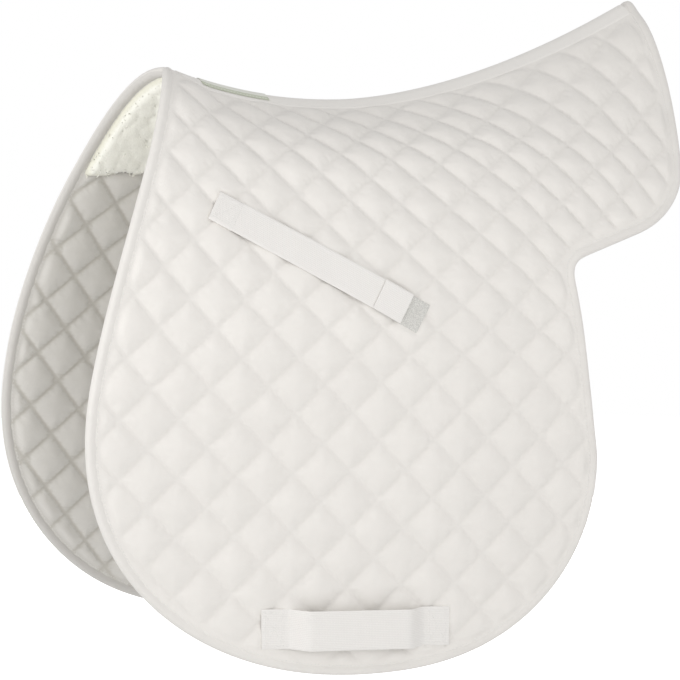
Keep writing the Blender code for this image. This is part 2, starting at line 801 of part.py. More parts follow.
near_side = [(cover, cotton, "spine"), (wadding, filling, "spine"), (fleece, wool, "spine"),
             (flap_cover, cotton, "flap"), (flap_wadding, filling, "flap"),
             (flap_lining, lining_cotton, "flap"), (flap_binding, edging, "flap"),
             (anchor, webbing, "flap"), (patch, hook_tape, "flap"), (strap_stitching, thread, "flap"),
             (girth_loop, webbing, "flap"), (front_stitching, thread, "flap"),
             (rear_stitching, thread, "flap"),
             (strap, webbing, "strap"), (tab, webbing, "tab")]
for item, look, body in near_side:
    item.data.materials.append(look)
far_side = [(far_twin(item, item.name.replace("near", "far")), look, body)
            for item, look, body in near_side]

for side, pieces, mirror in (("near", near_side, (1, 1, 1)), ("far", far_side, (1, -1, 1))):
    pivots = side_pivots(side, mirror)
    for item, look, body in pieces:
        if pivots[body]:
            carried(item, pivots[body])
        if side == "far":
            item.data.materials.clear()
            item.data.materials.append(look)
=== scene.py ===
import math

import bpy
import numpy as np
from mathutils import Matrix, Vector


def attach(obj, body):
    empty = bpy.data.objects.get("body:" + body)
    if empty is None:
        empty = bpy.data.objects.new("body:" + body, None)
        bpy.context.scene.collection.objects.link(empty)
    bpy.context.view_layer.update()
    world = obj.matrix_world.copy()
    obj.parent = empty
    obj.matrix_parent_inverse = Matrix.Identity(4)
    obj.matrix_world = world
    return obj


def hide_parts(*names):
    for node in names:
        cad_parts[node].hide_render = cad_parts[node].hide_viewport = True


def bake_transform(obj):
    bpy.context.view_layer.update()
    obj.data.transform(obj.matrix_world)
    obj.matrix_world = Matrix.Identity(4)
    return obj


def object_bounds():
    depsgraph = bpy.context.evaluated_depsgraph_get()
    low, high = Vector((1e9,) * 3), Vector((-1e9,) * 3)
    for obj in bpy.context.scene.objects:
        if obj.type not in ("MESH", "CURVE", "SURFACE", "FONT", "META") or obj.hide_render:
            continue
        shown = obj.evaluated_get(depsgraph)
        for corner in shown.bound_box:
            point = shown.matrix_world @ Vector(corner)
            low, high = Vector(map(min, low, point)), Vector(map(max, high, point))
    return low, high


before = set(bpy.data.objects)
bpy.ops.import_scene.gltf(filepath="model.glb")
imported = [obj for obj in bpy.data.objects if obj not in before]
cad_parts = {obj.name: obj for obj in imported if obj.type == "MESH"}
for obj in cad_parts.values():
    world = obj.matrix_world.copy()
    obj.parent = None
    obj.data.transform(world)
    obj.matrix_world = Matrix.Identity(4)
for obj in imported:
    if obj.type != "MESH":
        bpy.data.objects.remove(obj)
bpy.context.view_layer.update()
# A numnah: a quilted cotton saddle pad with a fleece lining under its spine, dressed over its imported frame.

sides = ("near", "far")

# The pad's surface, in metres. s runs along the fold, q down from it and h out from the wadding's middle.
pad = {
    "pommelRun": 0.186, "pommelRise": 0.0335, "pommelPower": 2.15,
    "cantleRun": 0.346, "cantleRise": 0.1015, "cantlePower": 1.73,
    "crestZ": 0.01105, "foldHalfWidth": 0.110, "foldDepth": 0.061, "splay": math.radians(5),
    "slopeFront": math.radians(22), "slopeRear": math.radians(34), "slopeFrontS": -0.290, "slopeRearS": 0.060,
    "bend": 0.180, "crown": 0.36, "shoulder": 0.50, "ridge": 0.0075, "ridgeWidth": 0.0125,
    "ridgeStart": -0.182, "ridgeWhole": -0.140, "ridgeEase": 0.25,
    "wave": 0.0012, "waveAlong": (21, 9, 0.6), "waveDown": (-6, 13, 1.1), "waveFrom": -0.02, "waveWhole": 0.12,
}
# The flat outline of one side
cut = {
    "foremost": (-0.3105, 0.243), "lowest": (-0.018, 0.481), "rearmost": (0.198, 0.288),
    "frontPower": 2.1, "rearPower": 2.12,
    "frontEase": 0.085, "frontStart": 0.55, "notch": (0.1725, 0.0985), "notchRadius": 0.016,
    "wing": (0.309, 0.053), "wingRadius": 0.098, "rearBow": 0.0035,
    "curvePoints": 160, "cornerPoints": 24, "step": 0.003, "easing": 6,
}
along = np.array([math.cos(pad["splay"]), -math.sin(pad["splay"]), 0.0])
outward = np.array([-math.sin(pad["splay"]), -math.cos(pad["splay"]), 0.0])
downward = np.array([0.0, 0.0, -1.0])
foldStart = np.array([0.0, -pad["foldHalfWidth"], pad["crestZ"] - pad["foldDepth"]])


def smooth(x, low, high):  # 0 below low, 1 above high, with an even start and stop
    t = np.clip((x - low) / (high - low), 0, 1)
    return t * t * (3 - 2 * t)


def mix(a, b, share):  # a straight blend, from a at 0 to b at 1
    return a + (b - a) * share


def unit(v):  # every row brought to length one
    return v / np.maximum(np.linalg.norm(v, axis=-1, keepdims=True), 1e-12)


def turned(x, y, angle):  # a flat place turned about the origin
    c, n = np.cos(angle), np.sin(angle)
    return x * c - y * n, x * n + y * c


def travel(line):  # length along a line, at each of its points
    return np.concatenate([[0], np.cumsum(np.linalg.norm(np.diff(line, axis=0), axis=1))])


def crestHeight(x):  # one power curve rises to the pommel and another to the cantle
    front = pad["pommelRise"] * (np.clip(-x, 0, None) / pad["pommelRun"]) ** pad["pommelPower"]
    rear = pad["cantleRise"] * (np.clip(x, 0, None) / pad["cantleRun"]) ** pad["cantlePower"]
    return pad["crestZ"] + front + rear


def topSlope(s):  # how steeply the pad leaves the fold: its front value eased into its rear one
    return mix(pad["slopeFront"], pad["slopeRear"], smooth(s, pad["slopeFrontS"], pad["slopeRearS"]))


def onFlap(s, q):  # an arc from the top slope to upright over the bend, then straight down
    slope = topSlope(s)
    radius = pad["bend"] / slope
    angle = slope - np.clip(q, 0, pad["bend"]) / radius
    out = radius * (np.cos(angle) - np.cos(slope))
    down = radius * (np.sin(slope) - np.sin(angle)) + np.clip(q - pad["bend"], 0, None)
    return foldStart + s[..., None] * along + out[..., None] * outward + down[..., None] * downward


def archTable(sLow=-0.38, sHigh=0.40, rows=391, columns=97, fine=257):
    # Each row is a cubic curve from the crest to the fold, read at even lengths along it
    s = np.linspace(sLow, sHigh, rows)
    fold = foldStart + s[:, None] * along
    crest = fold * (1, 0, 0)
    crest[:, 2] = crestHeight(fold[:, 0])
    crown = crest + (fold - crest) * (0, pad["crown"], 0)
    slope = topSlope(s)[:, None]
    drop = (crest - fold)[:, 2:]
    shoulder = fold - pad["shoulder"] * drop * (np.sin(slope) * outward + np.cos(slope) * downward)
    t = np.linspace(0, 1, fine)[None, :, None]
    curve = ((1 - t) ** 3 * crest[:, None] + 3 * (1 - t) ** 2 * t * crown[:, None]
             + 3 * (1 - t) * t * t * shoulder[:, None] + t ** 3 * fold[:, None])
    steps = np.linalg.norm(np.diff(curve, axis=1), axis=2)
    length = np.concatenate([np.zeros((rows, 1)), np.cumsum(steps, axis=1)], axis=1)
    share = np.linspace(0, 1, columns)
    points = np.array([[np.interp(share * run[-1], run, line[:, axis]) for axis in range(3)]
                       for run, line in zip(length, curve)]).transpose(0, 2, 1)
    # The cloth hangs from its seam: beside the crest it falls away to a soft ridge, and comes back by the fold
    apart, whole = share * length[:, -1:], length[:, -1:]
    fall = (1 - np.exp(-(apart / pad["ridgeWidth"]) ** 2)) * (1 - smooth(apart, pad["ridgeEase"] * whole, whole))
    points[..., 2] -= pad["ridge"] * fall * smooth(s[:, None], pad["ridgeStart"], pad["ridgeWhole"])
    normals = np.cross(np.gradient(points, axis=1), np.gradient(points, axis=0))
    normals[:, 0, 1] = 0
    return {"s": s, "length": length[:, -1], "points": points, "normals": unit(normals)}


arch = archTable()


def crestQ(s):  # q at the crest: the arch's length from the fold, counted upward
    return -np.interp(s, arch["s"], arch["length"])


def readTable(values, s, share):  # a straight blend of the four table values around each place
    rows, columns = values.shape[:2]
    i = np.clip((s - arch["s"][0]) / (arch["s"][1] - arch["s"][0]), 0, rows - 1.001)
    j = np.clip(share * (columns - 1), 0, columns - 1.001)
    i0, j0 = i.astype(int), j.astype(int)
    fi, fj = (i - i0)[..., None], (j - j0)[..., None]
    front, rear = (mix(values[i0, k], values[i0 + 1, k], fi) for k in (j0, j0 + 1))
    return mix(front, rear, fj)


def wave(s, q):  # the cloth's slow rise and fall, the same for every layer: two sines that cross
    one, two = (np.sin(s * bendS + q * bendQ + start) for bendS, bendQ, start in (pad["waveAlong"], pad["waveDown"]))
    return pad["wave"] * one * two * smooth(q, pad["waveFrom"], pad["waveWhole"])


def onPad(s, q, h=0.0, side="near"):
    # Flat places laid on the pad: the arch above the fold, mirrored past the crest, and the flap below it
    s, q, h = np.broadcast_arrays(np.asarray(s, float), np.asarray(q, float), np.asarray(h, float))
    share = 1 - np.minimum(q, 0) / crestQ(s)
    mirror = np.where((share < 0)[..., None], (1, -1, 1), (1, 1, 1))
    archPoint = readTable(arch["points"], s, np.abs(share)) * mirror
    archNormal = readTable(arch["normals"], s, np.abs(share)) * mirror
    step = 0.0004
    low = np.maximum(q, step)
    flapNormal = np.cross(onFlap(s, low + step) - onFlap(s, low - step),
                          onFlap(s + step, low) - onFlap(s - step, low))
    below = (q > 0)[..., None]
    point = np.where(below, onFlap(s, np.maximum(q, 0)), archPoint)
    normal = unit(np.where(below, flapNormal, archNormal))
    point = point + (h + wave(s, q))[..., None] * normal
    return point * ((1, 1, 1) if side == "near" else (1, -1, 1))


# Flat outline

def cubic(a, b, c, d):  # the curve that leaves a toward b and reaches d from c
    t = np.linspace(0, 1, cut["curvePoints"])[:, None]
    return (1 - t) ** 3 * a + 3 * (1 - t) ** 2 * t * b + 3 * (1 - t) * t * t * c + t ** 3 * d


def roundCorner(before, at, after, radius):  # an arc that meets both lines of the corner evenly
    back, on = unit(before - at), unit(after - at)
    half = math.acos(float(back @ on)) / 2
    centre = at + unit(back + on) * radius / math.sin(half)
    start, end = at + back * radius / math.tan(half) - centre, at + on * radius / math.tan(half) - centre
    turn = math.atan2(start[0] * end[1] - start[1] * end[0], float(start @ end))
    return centre + np.stack(turned(*start, turn * np.linspace(0, 1, cut["cornerPoints"])), axis=1)


def lobe(at, power):  # a quarter of a rounded square, from a place at the side down to the lowest one
    angle, lowest = np.linspace(0, np.pi / 2, cut["curvePoints"]), cut["lowest"]
    return np.stack([mix(lowest[0], at[0], np.cos(angle) ** (2 / power)),
                     mix(at[1], lowest[1], np.sin(angle) ** (2 / power))], axis=1)


def evenly(line, step):  # the same line with its points an even step apart
    lengths = travel(line)
    places = np.linspace(0, lengths[-1], round(lengths[-1] / step) + 1)
    return np.stack([np.interp(places, lengths, line[:, axis]) for axis in range(line.shape[1])], axis=1)


def eased(line, times):  # each point moves to the middle of its neighbours
    for _ in range(times):
        line[1:-1] = (line[:-2] + 2 * line[1:-1] + line[2:]) / 4
    return line


def outline():  # front edge, the two lobes of the flap, notch, wing and rear edge, joined, evened and eased
    pommelS, cantleS = -pad["pommelRun"] / along[0], pad["cantleRun"] / along[0]
    pommel, cantle = np.array([pommelS, crestQ(pommelS)]), np.array([cantleS, crestQ(cantleS)])
    foremost, rearmost = np.array(cut["foremost"]), np.array(cut["rearmost"])
    ease = foremost - (0, cut["frontEase"])
    front = cubic(pommel, mix(pommel, ease, cut["frontStart"]), ease, foremost)
    notch, wing = np.array(cut["notch"]), np.array(cut["wing"])
    inner = roundCorner(rearmost, notch, wing, cut["notchRadius"])
    outer = roundCorner(notch, wing, cantle, cut["wingRadius"])
    onward = unit(cantle - outer[-1])
    bow = np.array([-onward[1], onward[0]]) * cut["rearBow"] * 4 / 3
    rear = cubic(outer[-1], mix(outer[-1], cantle, 1 / 3) + bow, mix(outer[-1], cantle, 2 / 3) + bow, cantle)
    line = np.vstack([front[:-1], lobe(foremost, cut["frontPower"]), lobe(rearmost, cut["rearPower"])[-2::-1],
                      inner, outer, rear[1:]])
    return eased(evenly(line, cut["step"]), cut["easing"])


edgeLine = outline()
edgeRun = travel(edgeLine)
edgeTangent = unit(np.gradient(edgeLine, axis=0))
edgeInward = np.stack([edgeTangent[:, 1], -edgeTangent[:, 0]], axis=1)


def fromEdge(s, q):
    # Distance in from the outline, below zero outside it and past the crest: the nearest of its short edges,
    # inside where a line straight out along s crosses them an odd number of times
    crestS = np.linspace(edgeLine[-1, 0], edgeLine[0, 0], 120)
    ring = np.vstack([edgeLine, np.stack([crestS, crestQ(crestS)], axis=1)[1:-1]])
    inside = np.zeros(s.shape, bool)
    nearest = np.full(s.shape, np.inf)
    for a, b, cutEdge in zip(ring, np.roll(ring, -1, axis=0), np.arange(len(ring)) < len(edgeLine) - 1):
        crosses = (a[1] > q) != (b[1] > q)
        inside ^= crosses & (s < a[0] + (b[0] - a[0]) * (q - a[1]) / (b[1] - a[1] + 1e-15))
        if cutEdge:
            span = b - a
            t = np.clip(((s - a[0]) * span[0] + (q - a[1]) * span[1]) / (span @ span), 0, 1)
            nearest = np.minimum(nearest, np.hypot(s - a[0] - t * span[0], q - a[1] - t * span[1]))
    return np.where(inside, nearest, -nearest)


# Meshes

def makeMesh(name, points, faces, uv=None, values=None, flip=False, sharp=None):
    # A mesh from whole arrays: 3 or 4 columns of faces, a flat place for each point, and named values
    faces = np.asarray(faces)[:, ::-1] if flip else np.asarray(faces)
    count, width = faces.shape
    mesh = bpy.data.meshes.new(name)
    mesh.vertices.add(len(points))
    mesh.vertices.foreach_set("co", np.ascontiguousarray(points, np.float32).ravel())
    mesh.loops.add(count * width)
    mesh.loops.foreach_set("vertex_index", np.ascontiguousarray(faces, np.int32).ravel())
    mesh.polygons.add(count)
    mesh.polygons.foreach_set("loop_start", np.arange(0, count * width, width, dtype=np.int32))
    mesh.update(calc_edges=True)
    if uv is not None:
        layer = mesh.uv_layers.new(name="cloth")
        layer.data.foreach_set("uv", np.ascontiguousarray(uv[faces.ravel()], np.float32).ravel())
    for key, value in (values or {}).items():
        mesh.attributes.new(key, "FLOAT", "POINT").data.foreach_set("value", np.asarray(value, np.float32).ravel())
    mesh.shade_smooth()
    if sharp:
        mesh.set_sharp_from_angle(angle=math.radians(sharp))
    item = bpy.data.objects.new(name, mesh)
    bpy.context.scene.collection.objects.link(item)
    return item


def gridFaces(rows, columns, closed=False):  # four corners for each cell; closed joins the last column to the first
    i, j = np.meshgrid(np.arange(rows - 1), np.arange(columns - (not closed)), indexing="ij")
    k, low, high = (j + 1) % columns, i * columns, (i + 1) * columns
    return np.stack([low + j, low + k, high + k, high + j], axis=-1).reshape(-1, 4)


def cutOut(close, least, s, q, **others):
    # The part of a grid that lies farther in from the outline than the least: values at its points, and its faces
    edge = np.full(s.shape, -1.0)
    edge[close] = fromEdge(s[close], q[close])
    faces = gridFaces(*s.shape)
    faces = faces[(close & (edge > least)).ravel()[faces].all(axis=1)]
    used, faces = np.unique(faces, return_inverse=True)
    kept = {key: value.ravel()[used] for key, value in dict(others, s=s, q=q, edge=edge).items()}
    return kept, faces.reshape(-1, 4)


def capFaces(rows, columns, half):  # both ends of a closed profile, joined across it
    k = np.arange(half - 1)
    cap = np.stack([k, k + 1, columns - 2 - k, columns - 1 - k], axis=1)
    return np.vstack([cap, ((rows - 1) * columns + cap)[:, ::-1]])


def carried(name, s, q, height, run, around, half, side, values=None, sharp=60):
    # A closed section carried along the pad, given by its places and heights at each station, and capped at both ends
    rows, columns = s.shape
    uv = np.stack([np.repeat(run, columns), np.tile(around, rows)], axis=1)
    faces = np.vstack([gridFaces(rows, columns, closed=True), capFaces(rows, columns, half)])
    points = onPad(s, q, height, side).reshape(-1, 3)
    return makeMesh(name, points, faces, uv, values, flip=side == "near", sharp=sharp)


def thicken(item, thickness):  # a wall, inward from the faces
    wall = item.modifiers.new("wall", "SOLIDIFY")
    wall.thickness, wall.offset = thickness, -1
    mesh = bpy.data.meshes.new_from_object(item.evaluated_get(bpy.context.evaluated_depsgraph_get()))
    item.modifiers.clear()
    item.data = mesh


def bendAtFold(item, side):  # bakes its placing into its points; the slope and flip worked out here are not used
    slope = float(topSlope(np.array(0.0)))
    flip = np.array((1, 1 if side == "near" else -1, 1))
    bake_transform(item)


def finish(item, material, slotName, *nodes, side=None, body=None, padded=None):
    # Its material, the solids that it stands for and what carries it; the slot it is given is not used
    item.data.materials.append(material)
    if nodes:
        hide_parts(*nodes)
    if body:
        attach(item, body)
    else:
        bendAtFold(item, side)


# Materials: a Wire is one socket, and sums of Wires make Math nodes

class Wire:
    def __init__(self, board, socket):
        self.board, self.socket = board, socket

    def maths(self, operation, *others):
        return self.board.node("ShaderNodeMath", {"operation": operation}, dict(enumerate((self,) + others)))

    def __add__(self, other):
        return self.maths("ADD", other)

    def __mul__(self, other):
        return self.maths("MULTIPLY", other)

    __radd__, __rmul__ = __add__, __mul__

    def sine(self):
        return self.maths("SINE")

    def within(self, low, high):
        return self.board.node("ShaderNodeMapRange", {"interpolation_type": "SMOOTHSTEP"},
                               {"Value": self, "From Min": low, "From Max": high})

    def output(self, name):
        return Wire(self.board, self.socket.node.outputs[name])


class Board:  # one node tree, where a socket takes a Wire or a value
    def __init__(self, tree):
        self.tree = tree

    def node(self, kind, settings=None, sockets=None, output=0):
        made = self.tree.nodes.new(kind)
        for key, value in (settings or {}).items():
            setattr(made, key, value)
        for key, value in (sockets or {}).items():
            self.feed(made.inputs[key], value)
        return Wire(self, made.outputs[output])

    def feed(self, socket, value):
        if isinstance(value, Wire):
            self.tree.links.new(value.socket, socket)
        else:
            socket.default_value = value

    def noise(self, vector, scale, detail=2.0, roughness=0.5):
        return self.node("ShaderNodeTexNoise", None,
                         {"Vector": vector, "Scale": scale, "Detail": detail, "Roughness": roughness})

    def mixed(self, factor, a, b):  # input 0 is the factor, 6 and 7 the two colours, output 2 their mix
        return self.node("ShaderNodeMix", {"data_type": "RGBA"}, {0: factor, 6: a, 7: b}, 2)


class Cloth(Board):  # a material of one colour, whose shader takes the nodes made for it
    def __init__(self, name, color, roughness, **fixed):
        self.material = bpy.data.materials.new(name)
        self.material.use_nodes = True
        super().__init__(self.material.node_tree)
        self.shader = self.tree.nodes["Principled BSDF"]
        self.color = color
        self.shader.inputs["Base Color"].default_value = (*color, 1)
        self.shader.inputs["Roughness"].default_value = roughness
        for key, value in fixed.items():
            self.shader.inputs[key.replace("_", " ")].default_value = value

    def tone(self, factor, tint=(1, 1, 1)):  # the cloth's colour made deeper or paler
        return tuple(min(1.0, channel * factor * share) for channel, share in zip(self.color, tint)) + (1,)

    def weave(self):  # the piece's own flat places, whole, along s and along q
        uv = self.node("ShaderNodeUVMap", {"uv_map": "cloth"})
        apart = self.node("ShaderNodeSeparateXYZ", None, {0: uv})
        return uv, apart.output("X"), apart.output("Y")

    def value(self, name):
        return self.node("ShaderNodeAttribute", {"attribute_name": name}).output("Fac")

    def show(self, color, bump, strength, depth, roughness=None):
        normal = self.node("ShaderNodeBump", None, {"Height": bump, "Strength": strength, "Distance": depth})
        self.feed(self.shader.inputs["Normal"], normal)
        self.feed(self.shader.inputs["Base Color"], color)
        if roughness:
            self.feed(self.shader.inputs["Roughness"], roughness)
        return self.material


colors = {
    # The lining and the edging are the cover's white cotton set darker: painted shade for the dim inside of the arch
    # and the edging's shaded rims
    "cotton": (0.808, 0.780, 0.742), "lining": (0.725, 0.704, 0.665), "edging": (0.765, 0.740, 0.705),
    "fleece": (0.955, 0.945, 0.870), "webbing": (0.815, 0.793, 0.765), "tape": (0.830, 0.806, 0.772),
    "hook": (0.690, 0.680, 0.645), "thread": (0.800, 0.785, 0.760), "label": (0.790, 0.795, 0.735),
    "labelEdge": (0.560, 0.590, 0.480),
}
grains = {  # each noise's size, detail and roughness, and the cells to a metre of the hook tape's loops
    "slub": (420, 3), "cloud": (24, 3, 0.6), "rib": (700, 3), "fibre": (900, 4, 0.7), "clump": (160, 3, 0.6),
    "strand": (1600, 2), "bristle": (1200,), "loops": 900.0,
}


def wovenCotton(name, color, thread=0.0008, paintedShade=0.0, tint=(1, 1, 1)):
    # Warp and weft threads cross, with slubs and a soft mottling, and painted shade deepens the tone where the puff
    # value is low: along the quilting's stitched grooves and on the edging's back leg
    cloth = Cloth(name, color, 0.92, Sheen_Weight=0.2, Sheen_Roughness=0.6, Specular_IOR_Level=0.2)
    uv, u, v = cloth.weave()
    turns = 2 * math.pi / thread
    over = (u * turns).sine() * (v * turns).sine() * 0.5 + 0.5
    slub, cloud = cloth.noise(uv, *grains["slub"]), cloth.noise(uv, *grains["cloud"])
    color = cloth.mixed(cloud.within(0.25, 0.75) * 0.7 + slub * 0.3, cloth.tone(0.965), cloth.tone(1.02))
    if paintedShade:
        # painted shade: darker, and on the lining warmer, where the puff value is low
        color = cloth.mixed(cloth.value("puff").within(0.0, 0.4), cloth.tone(paintedShade, tint), color)
    return cloth.show(color, over * 0.6 + slub * 0.8, 0.45, 0.0003, 0.86 + 0.1 * cloud)


def ribbedWebbing(name, color, rib, strength=0.8, contrast=0.05, edge=None):
    # Narrow ribs along the strip, each crossed by slanting threads, with a coloured edge where one is given
    cloth = Cloth(name, color, 0.78, Sheen_Weight=0.2, Sheen_Roughness=0.4, Specular_IOR_Level=0.3)
    uv, u, v = cloth.weave()
    ribs = (v * (2 * math.pi / rib)).sine()
    slant = (u * (2 * math.pi / (rib * 0.9)) + (v * (math.pi / rib)).sine() * 1.2).sine()
    grain, lit = cloth.noise(uv, *grains["rib"]), (ribs * 0.25 + slant * 0.15 + 0.5).within(0.1, 0.9)
    color = cloth.mixed(lit, cloth.tone(1 - contrast), cloth.tone(1 + contrast / 3))
    if edge:
        border = v.maths("ABSOLUTE").within(edge["from"], edge["from"] + edge["soft"])
        color = cloth.mixed(border, color, (*edge["color"], 1))
    return cloth.show(color, ribs * 0.35 + slant * 0.3 + grain * 0.5, strength, 0.00022, 0.72 + 0.14 * grain)


def fleeceWool(name, color, felted):
    # Painted shade: deeper, warmer cream in the creases, and on the felt fine fibres over clumps
    cloth = Cloth(name, color, 0.95, Sheen_Weight=0.5, Sheen_Roughness=0.5, Specular_IOR_Level=0.15)
    color = cloth.mixed(cloth.value("puff").within(0.0, 0.7), cloth.tone(0.86, (1, 0.990, 0.92)), cloth.tone(1.0))
    if not felted:
        cloth.feed(cloth.shader.inputs["Base Color"], color)
        return cloth.material
    uv = cloth.weave()[0]
    fibre, clump = cloth.noise(uv, *grains["fibre"]), cloth.noise(uv, *grains["clump"])
    return cloth.show(cloth.mixed(fibre * 0.3, color, cloth.tone(1.06)), fibre * 0.5 + clump, 0.7, 0.0007)


def sewingThread(name, color):  # a fine grain over the strand
    cloth = Cloth(name, color, 0.55, Sheen_Weight=0.3, Specular_IOR_Level=0.5)
    strand = cloth.noise(cloth.node("ShaderNodeTexCoord").output("Object"), *grains["strand"])
    return cloth.show(cloth.mixed(strand, cloth.tone(0.9), cloth.tone(1.06)), strand, 0.5, 0.0002)


def hookTape(name, color):  # short stiff loops, close together
    cloth = Cloth(name, color, 0.9, Sheen_Weight=0.3, Specular_IOR_Level=0.2)
    uv = cloth.weave()[0]
    loops = cloth.node("ShaderNodeTexVoronoi", {"feature": "F1"}, {"Vector": uv, "Scale": grains["loops"]})
    color = cloth.mixed(loops.within(0.1, 0.7), cloth.tone(1.08), cloth.tone(0.84))
    return cloth.show(color, loops * 0.8 + cloth.noise(uv, *grains["bristle"]) * 0.4, 0.9, 0.0004)


looks = {
    # painted shade in the quilting's grooves, faint on the cover and deeper on the lining
    "cotton": wovenCotton("quiltedCotton", colors["cotton"], paintedShade=0.985),
    "lining": wovenCotton("liningCotton", colors["lining"], paintedShade=0.86, tint=(1, 0.99, 0.96)),
    # painted shade: the edging's back leg is drawn darker than its front leg
    "edging": wovenCotton("edgingCotton", colors["edging"], thread=0.0010, paintedShade=0.84),
    "fleece": fleeceWool("fleeceFelt", colors["fleece"], True),
    "locks": fleeceWool("fleeceLocks", colors["fleece"], False),
    "webbing": ribbedWebbing("webbingWeave", colors["webbing"], 0.0017),
    "tape": ribbedWebbing("spineTapeWeave", colors["tape"], 0.0012, 0.5, 0.03),
    "label": ribbedWebbing("labelWeave", colors["label"], 0.0009, 0.5, 0.04,
                           {"from": 0.0064, "soft": 0.0012, "color": colors["labelEdge"]}),
    "hook": hookTape("hookTape", colors["hook"]),
    "thread": sewingThread("sewingThread", colors["thread"]),
}
print("materials done")

# Webbing, tape and edging places, shared by the cloth pressed under them
strap = {
    "start": (-0.181, 0.030), "angle": math.radians(31), "length": 0.204, "width": 0.029, "anchor": 0.024,
    "tab": 0.030, "thickness": 0.0016, "patch": 0.048, "patchOver": 0.020, "patchThickness": 0.0012,
    "seat": 0.0046, "base": 0.0064, "tabBase": 0.0086, "gap": 0.0001, "inset": 0.0035, "sag": 0.0004,
    "sagWave": 90, "fewestStations": 8,
}
loop = {
    "s": -0.055, "q": 0.432, "slope": math.tan(math.radians(5)), "length": 0.186, "width": 0.038, "sewn": 0.024,
    "rise": 0.022, "seat": 0.0046, "clear": 0.01605, "thickness": 0.0016, "inset": 0.0035, "points": 90,
}
spine = {
    "tape": {"front": -0.1742, "rear": 0.3342, "width": 0.032, "thickness": 0.0012, "base": 0.0036, "curl": 0.0004,
             "stitchIn": 0.0026, "slot": "binding_cotton"},
    "label": {"front": -0.151, "rear": -0.081, "width": 0.022, "thickness": 0.0007, "base": 0.0050, "curl": 0.0,
              "stitchIn": 0.0016, "slot": "label_weave"},
    "stitchEnd": 0.003, "stitchSpacing": 0.0034,
}
edging = {
    "width": 0.012, "front": 0.0050, "back": 0.0043, "tape": 0.0007, "ripple": 0.00025, "stitchIn": 0.0100,
    "square": 0.020, "spacing": 0.0036, "fine": 0.0009, "easing": 3, "puckers": (610, 37, 233),
    "puckerShares": (0.6, 0.4), "stitchFront": 0.80, "stitchBack": 0.74,
}
strapRun = np.array([math.cos(strap["angle"]), math.sin(strap["angle"])])
strapSide = np.array([-strapRun[1], strapRun[0]])

# The quilting: stitch lines cross at whole numbers of a and b, and each side has its own pattern
quilt = {
    "near": {"pitch": 0.0390, "turn": math.radians(47.5), "crossing": (0.0811, 0.2070),
             "slant": (0.0078, 0.1692), "rows": (0.0409, 0.1699), "fan": (-1.21, -2.15)},
    "far": {"pitch": 0.0376, "turn": math.radians(54.3), "crossing": (-0.2412, 0.1654),
            "slant": (0.0, 0.0), "rows": (0.0, 0.0), "fan": (0.0, 0.0)},
    "closeFrom": 0.210, "closeOver": 0.250, "closeSoft": 0.12, "closeReach": 0.160, "fanFrom": 0.120,
    "fanReach": 0.250, "fanCentre": -0.050, "fanTop": -0.250, "fanEnd": (0.045, 0.200), "rounds": 30,
    "front": -0.34, "rear": 0.37, "top": -0.21, "low": 0.49, "spare": 3, "cells": 16,
    "channel": 0.0020, "puff": 0.0043, "liningPuff": 0.0050, "wall": 0.0009, "edge": 0.0050, "crest": 0.0006,
    "liningTop": -0.010, "liningFade": (-0.002, 0.012), "fill": 0.45, "liningFill": 0.40,
    "picks": (7, 13, 5),
    "open": 0.0090, "underStrap": 0.0058, "underSewn": 0.0041, "underTape": 0.0033, "tapeClear": 0.0005,
    "underEdging": 0.0030, "underEdgingBack": 0.0024, "soft": 0.006,
    "threadsPerSquare": 9, "threadSquares": 20, "threadClear": 0.0015, "tapeToThread": 0.002,
    "threadRoom": 0.0075, "threadLift": 0.0002, "threadTop": 0.008,
}
swatch = {
    "squares": 4, "pitch": 0.039, "frames": 20, "scale": 10.0, "seed": 3, "shake": 0.14, "lift": 0.0004,
    "liftShake": 0.0005, "quickPower": 2.4, "highest": 1.1,
    "settings": {"quality": 8, "mass": 0.2, "tension_stiffness": 12, "compression_stiffness": 12,
                 "shear_stiffness": 4, "bending_stiffness": 0.10, "vertex_group_mass": "held",
                 "shrink_min": -0.06, "use_pressure": True, "uniform_pressure_force": 16.0},
}


def closing(s, q, panel):
    # How far a panel's pattern is moved: toward the spine its lines slant and its rows lie closer, by a share that
    # grows with the way up, and toward the wing its rows fan out, by the way past the fan's start times its slope
    t = np.clip((quilt["closeFrom"] - q) / quilt["closeOver"], 0, 1)
    share, ahead = t * t / (t + quilt["closeSoft"]), np.minimum(s, quilt["closeReach"])
    past = np.clip(s - quilt["fanFrom"], 0, quilt["fanReach"])
    down = np.maximum(q, quilt["fanTop"]) - quilt["fanCentre"]
    fan = past * (panel["fan"][0] * past + panel["fan"][1] * down) * (1 - smooth(q, *quilt["fanEnd"]))
    fanS, fanQ = turned(0, fan, panel["turn"])
    return (fanS + share * (panel["slant"][0] + panel["slant"][1] * ahead),
            fanQ - share * (panel["rows"][0] + panel["rows"][1] * ahead))


def toLattice(s, q, side):  # a flat place counted in squares: moved by the closing, then turned onto the stitch lines
    panel = quilt[side]
    moveS, moveQ = closing(s, q, panel)
    a, b = turned(s + moveS - panel["crossing"][0], q + moveQ - panel["crossing"][1], -panel["turn"])
    return a / panel["pitch"], b / panel["pitch"]


def fromLattice(a, b, side):  # the way back; the closing depends on where a point ends up, so it is found in rounds
    panel = quilt[side]
    x, y = turned(a * panel["pitch"], b * panel["pitch"], panel["turn"])
    evenS, evenQ = panel["crossing"][0] + x, panel["crossing"][1] + y
    s, q = evenS, evenQ
    for _ in range(quilt["rounds"]):
        moveS, moveQ = closing(s, q, panel)
        s, q = evenS - moveS, evenQ - moveQ
    return s, q


def squaresOf(height):  # the points of a swatch, square by square
    n, k = quilt["cells"], swatch["squares"]
    return height[:n * k, :n * k].reshape(k, n, k, n).transpose(0, 2, 1, 3).reshape(-1, n, n)


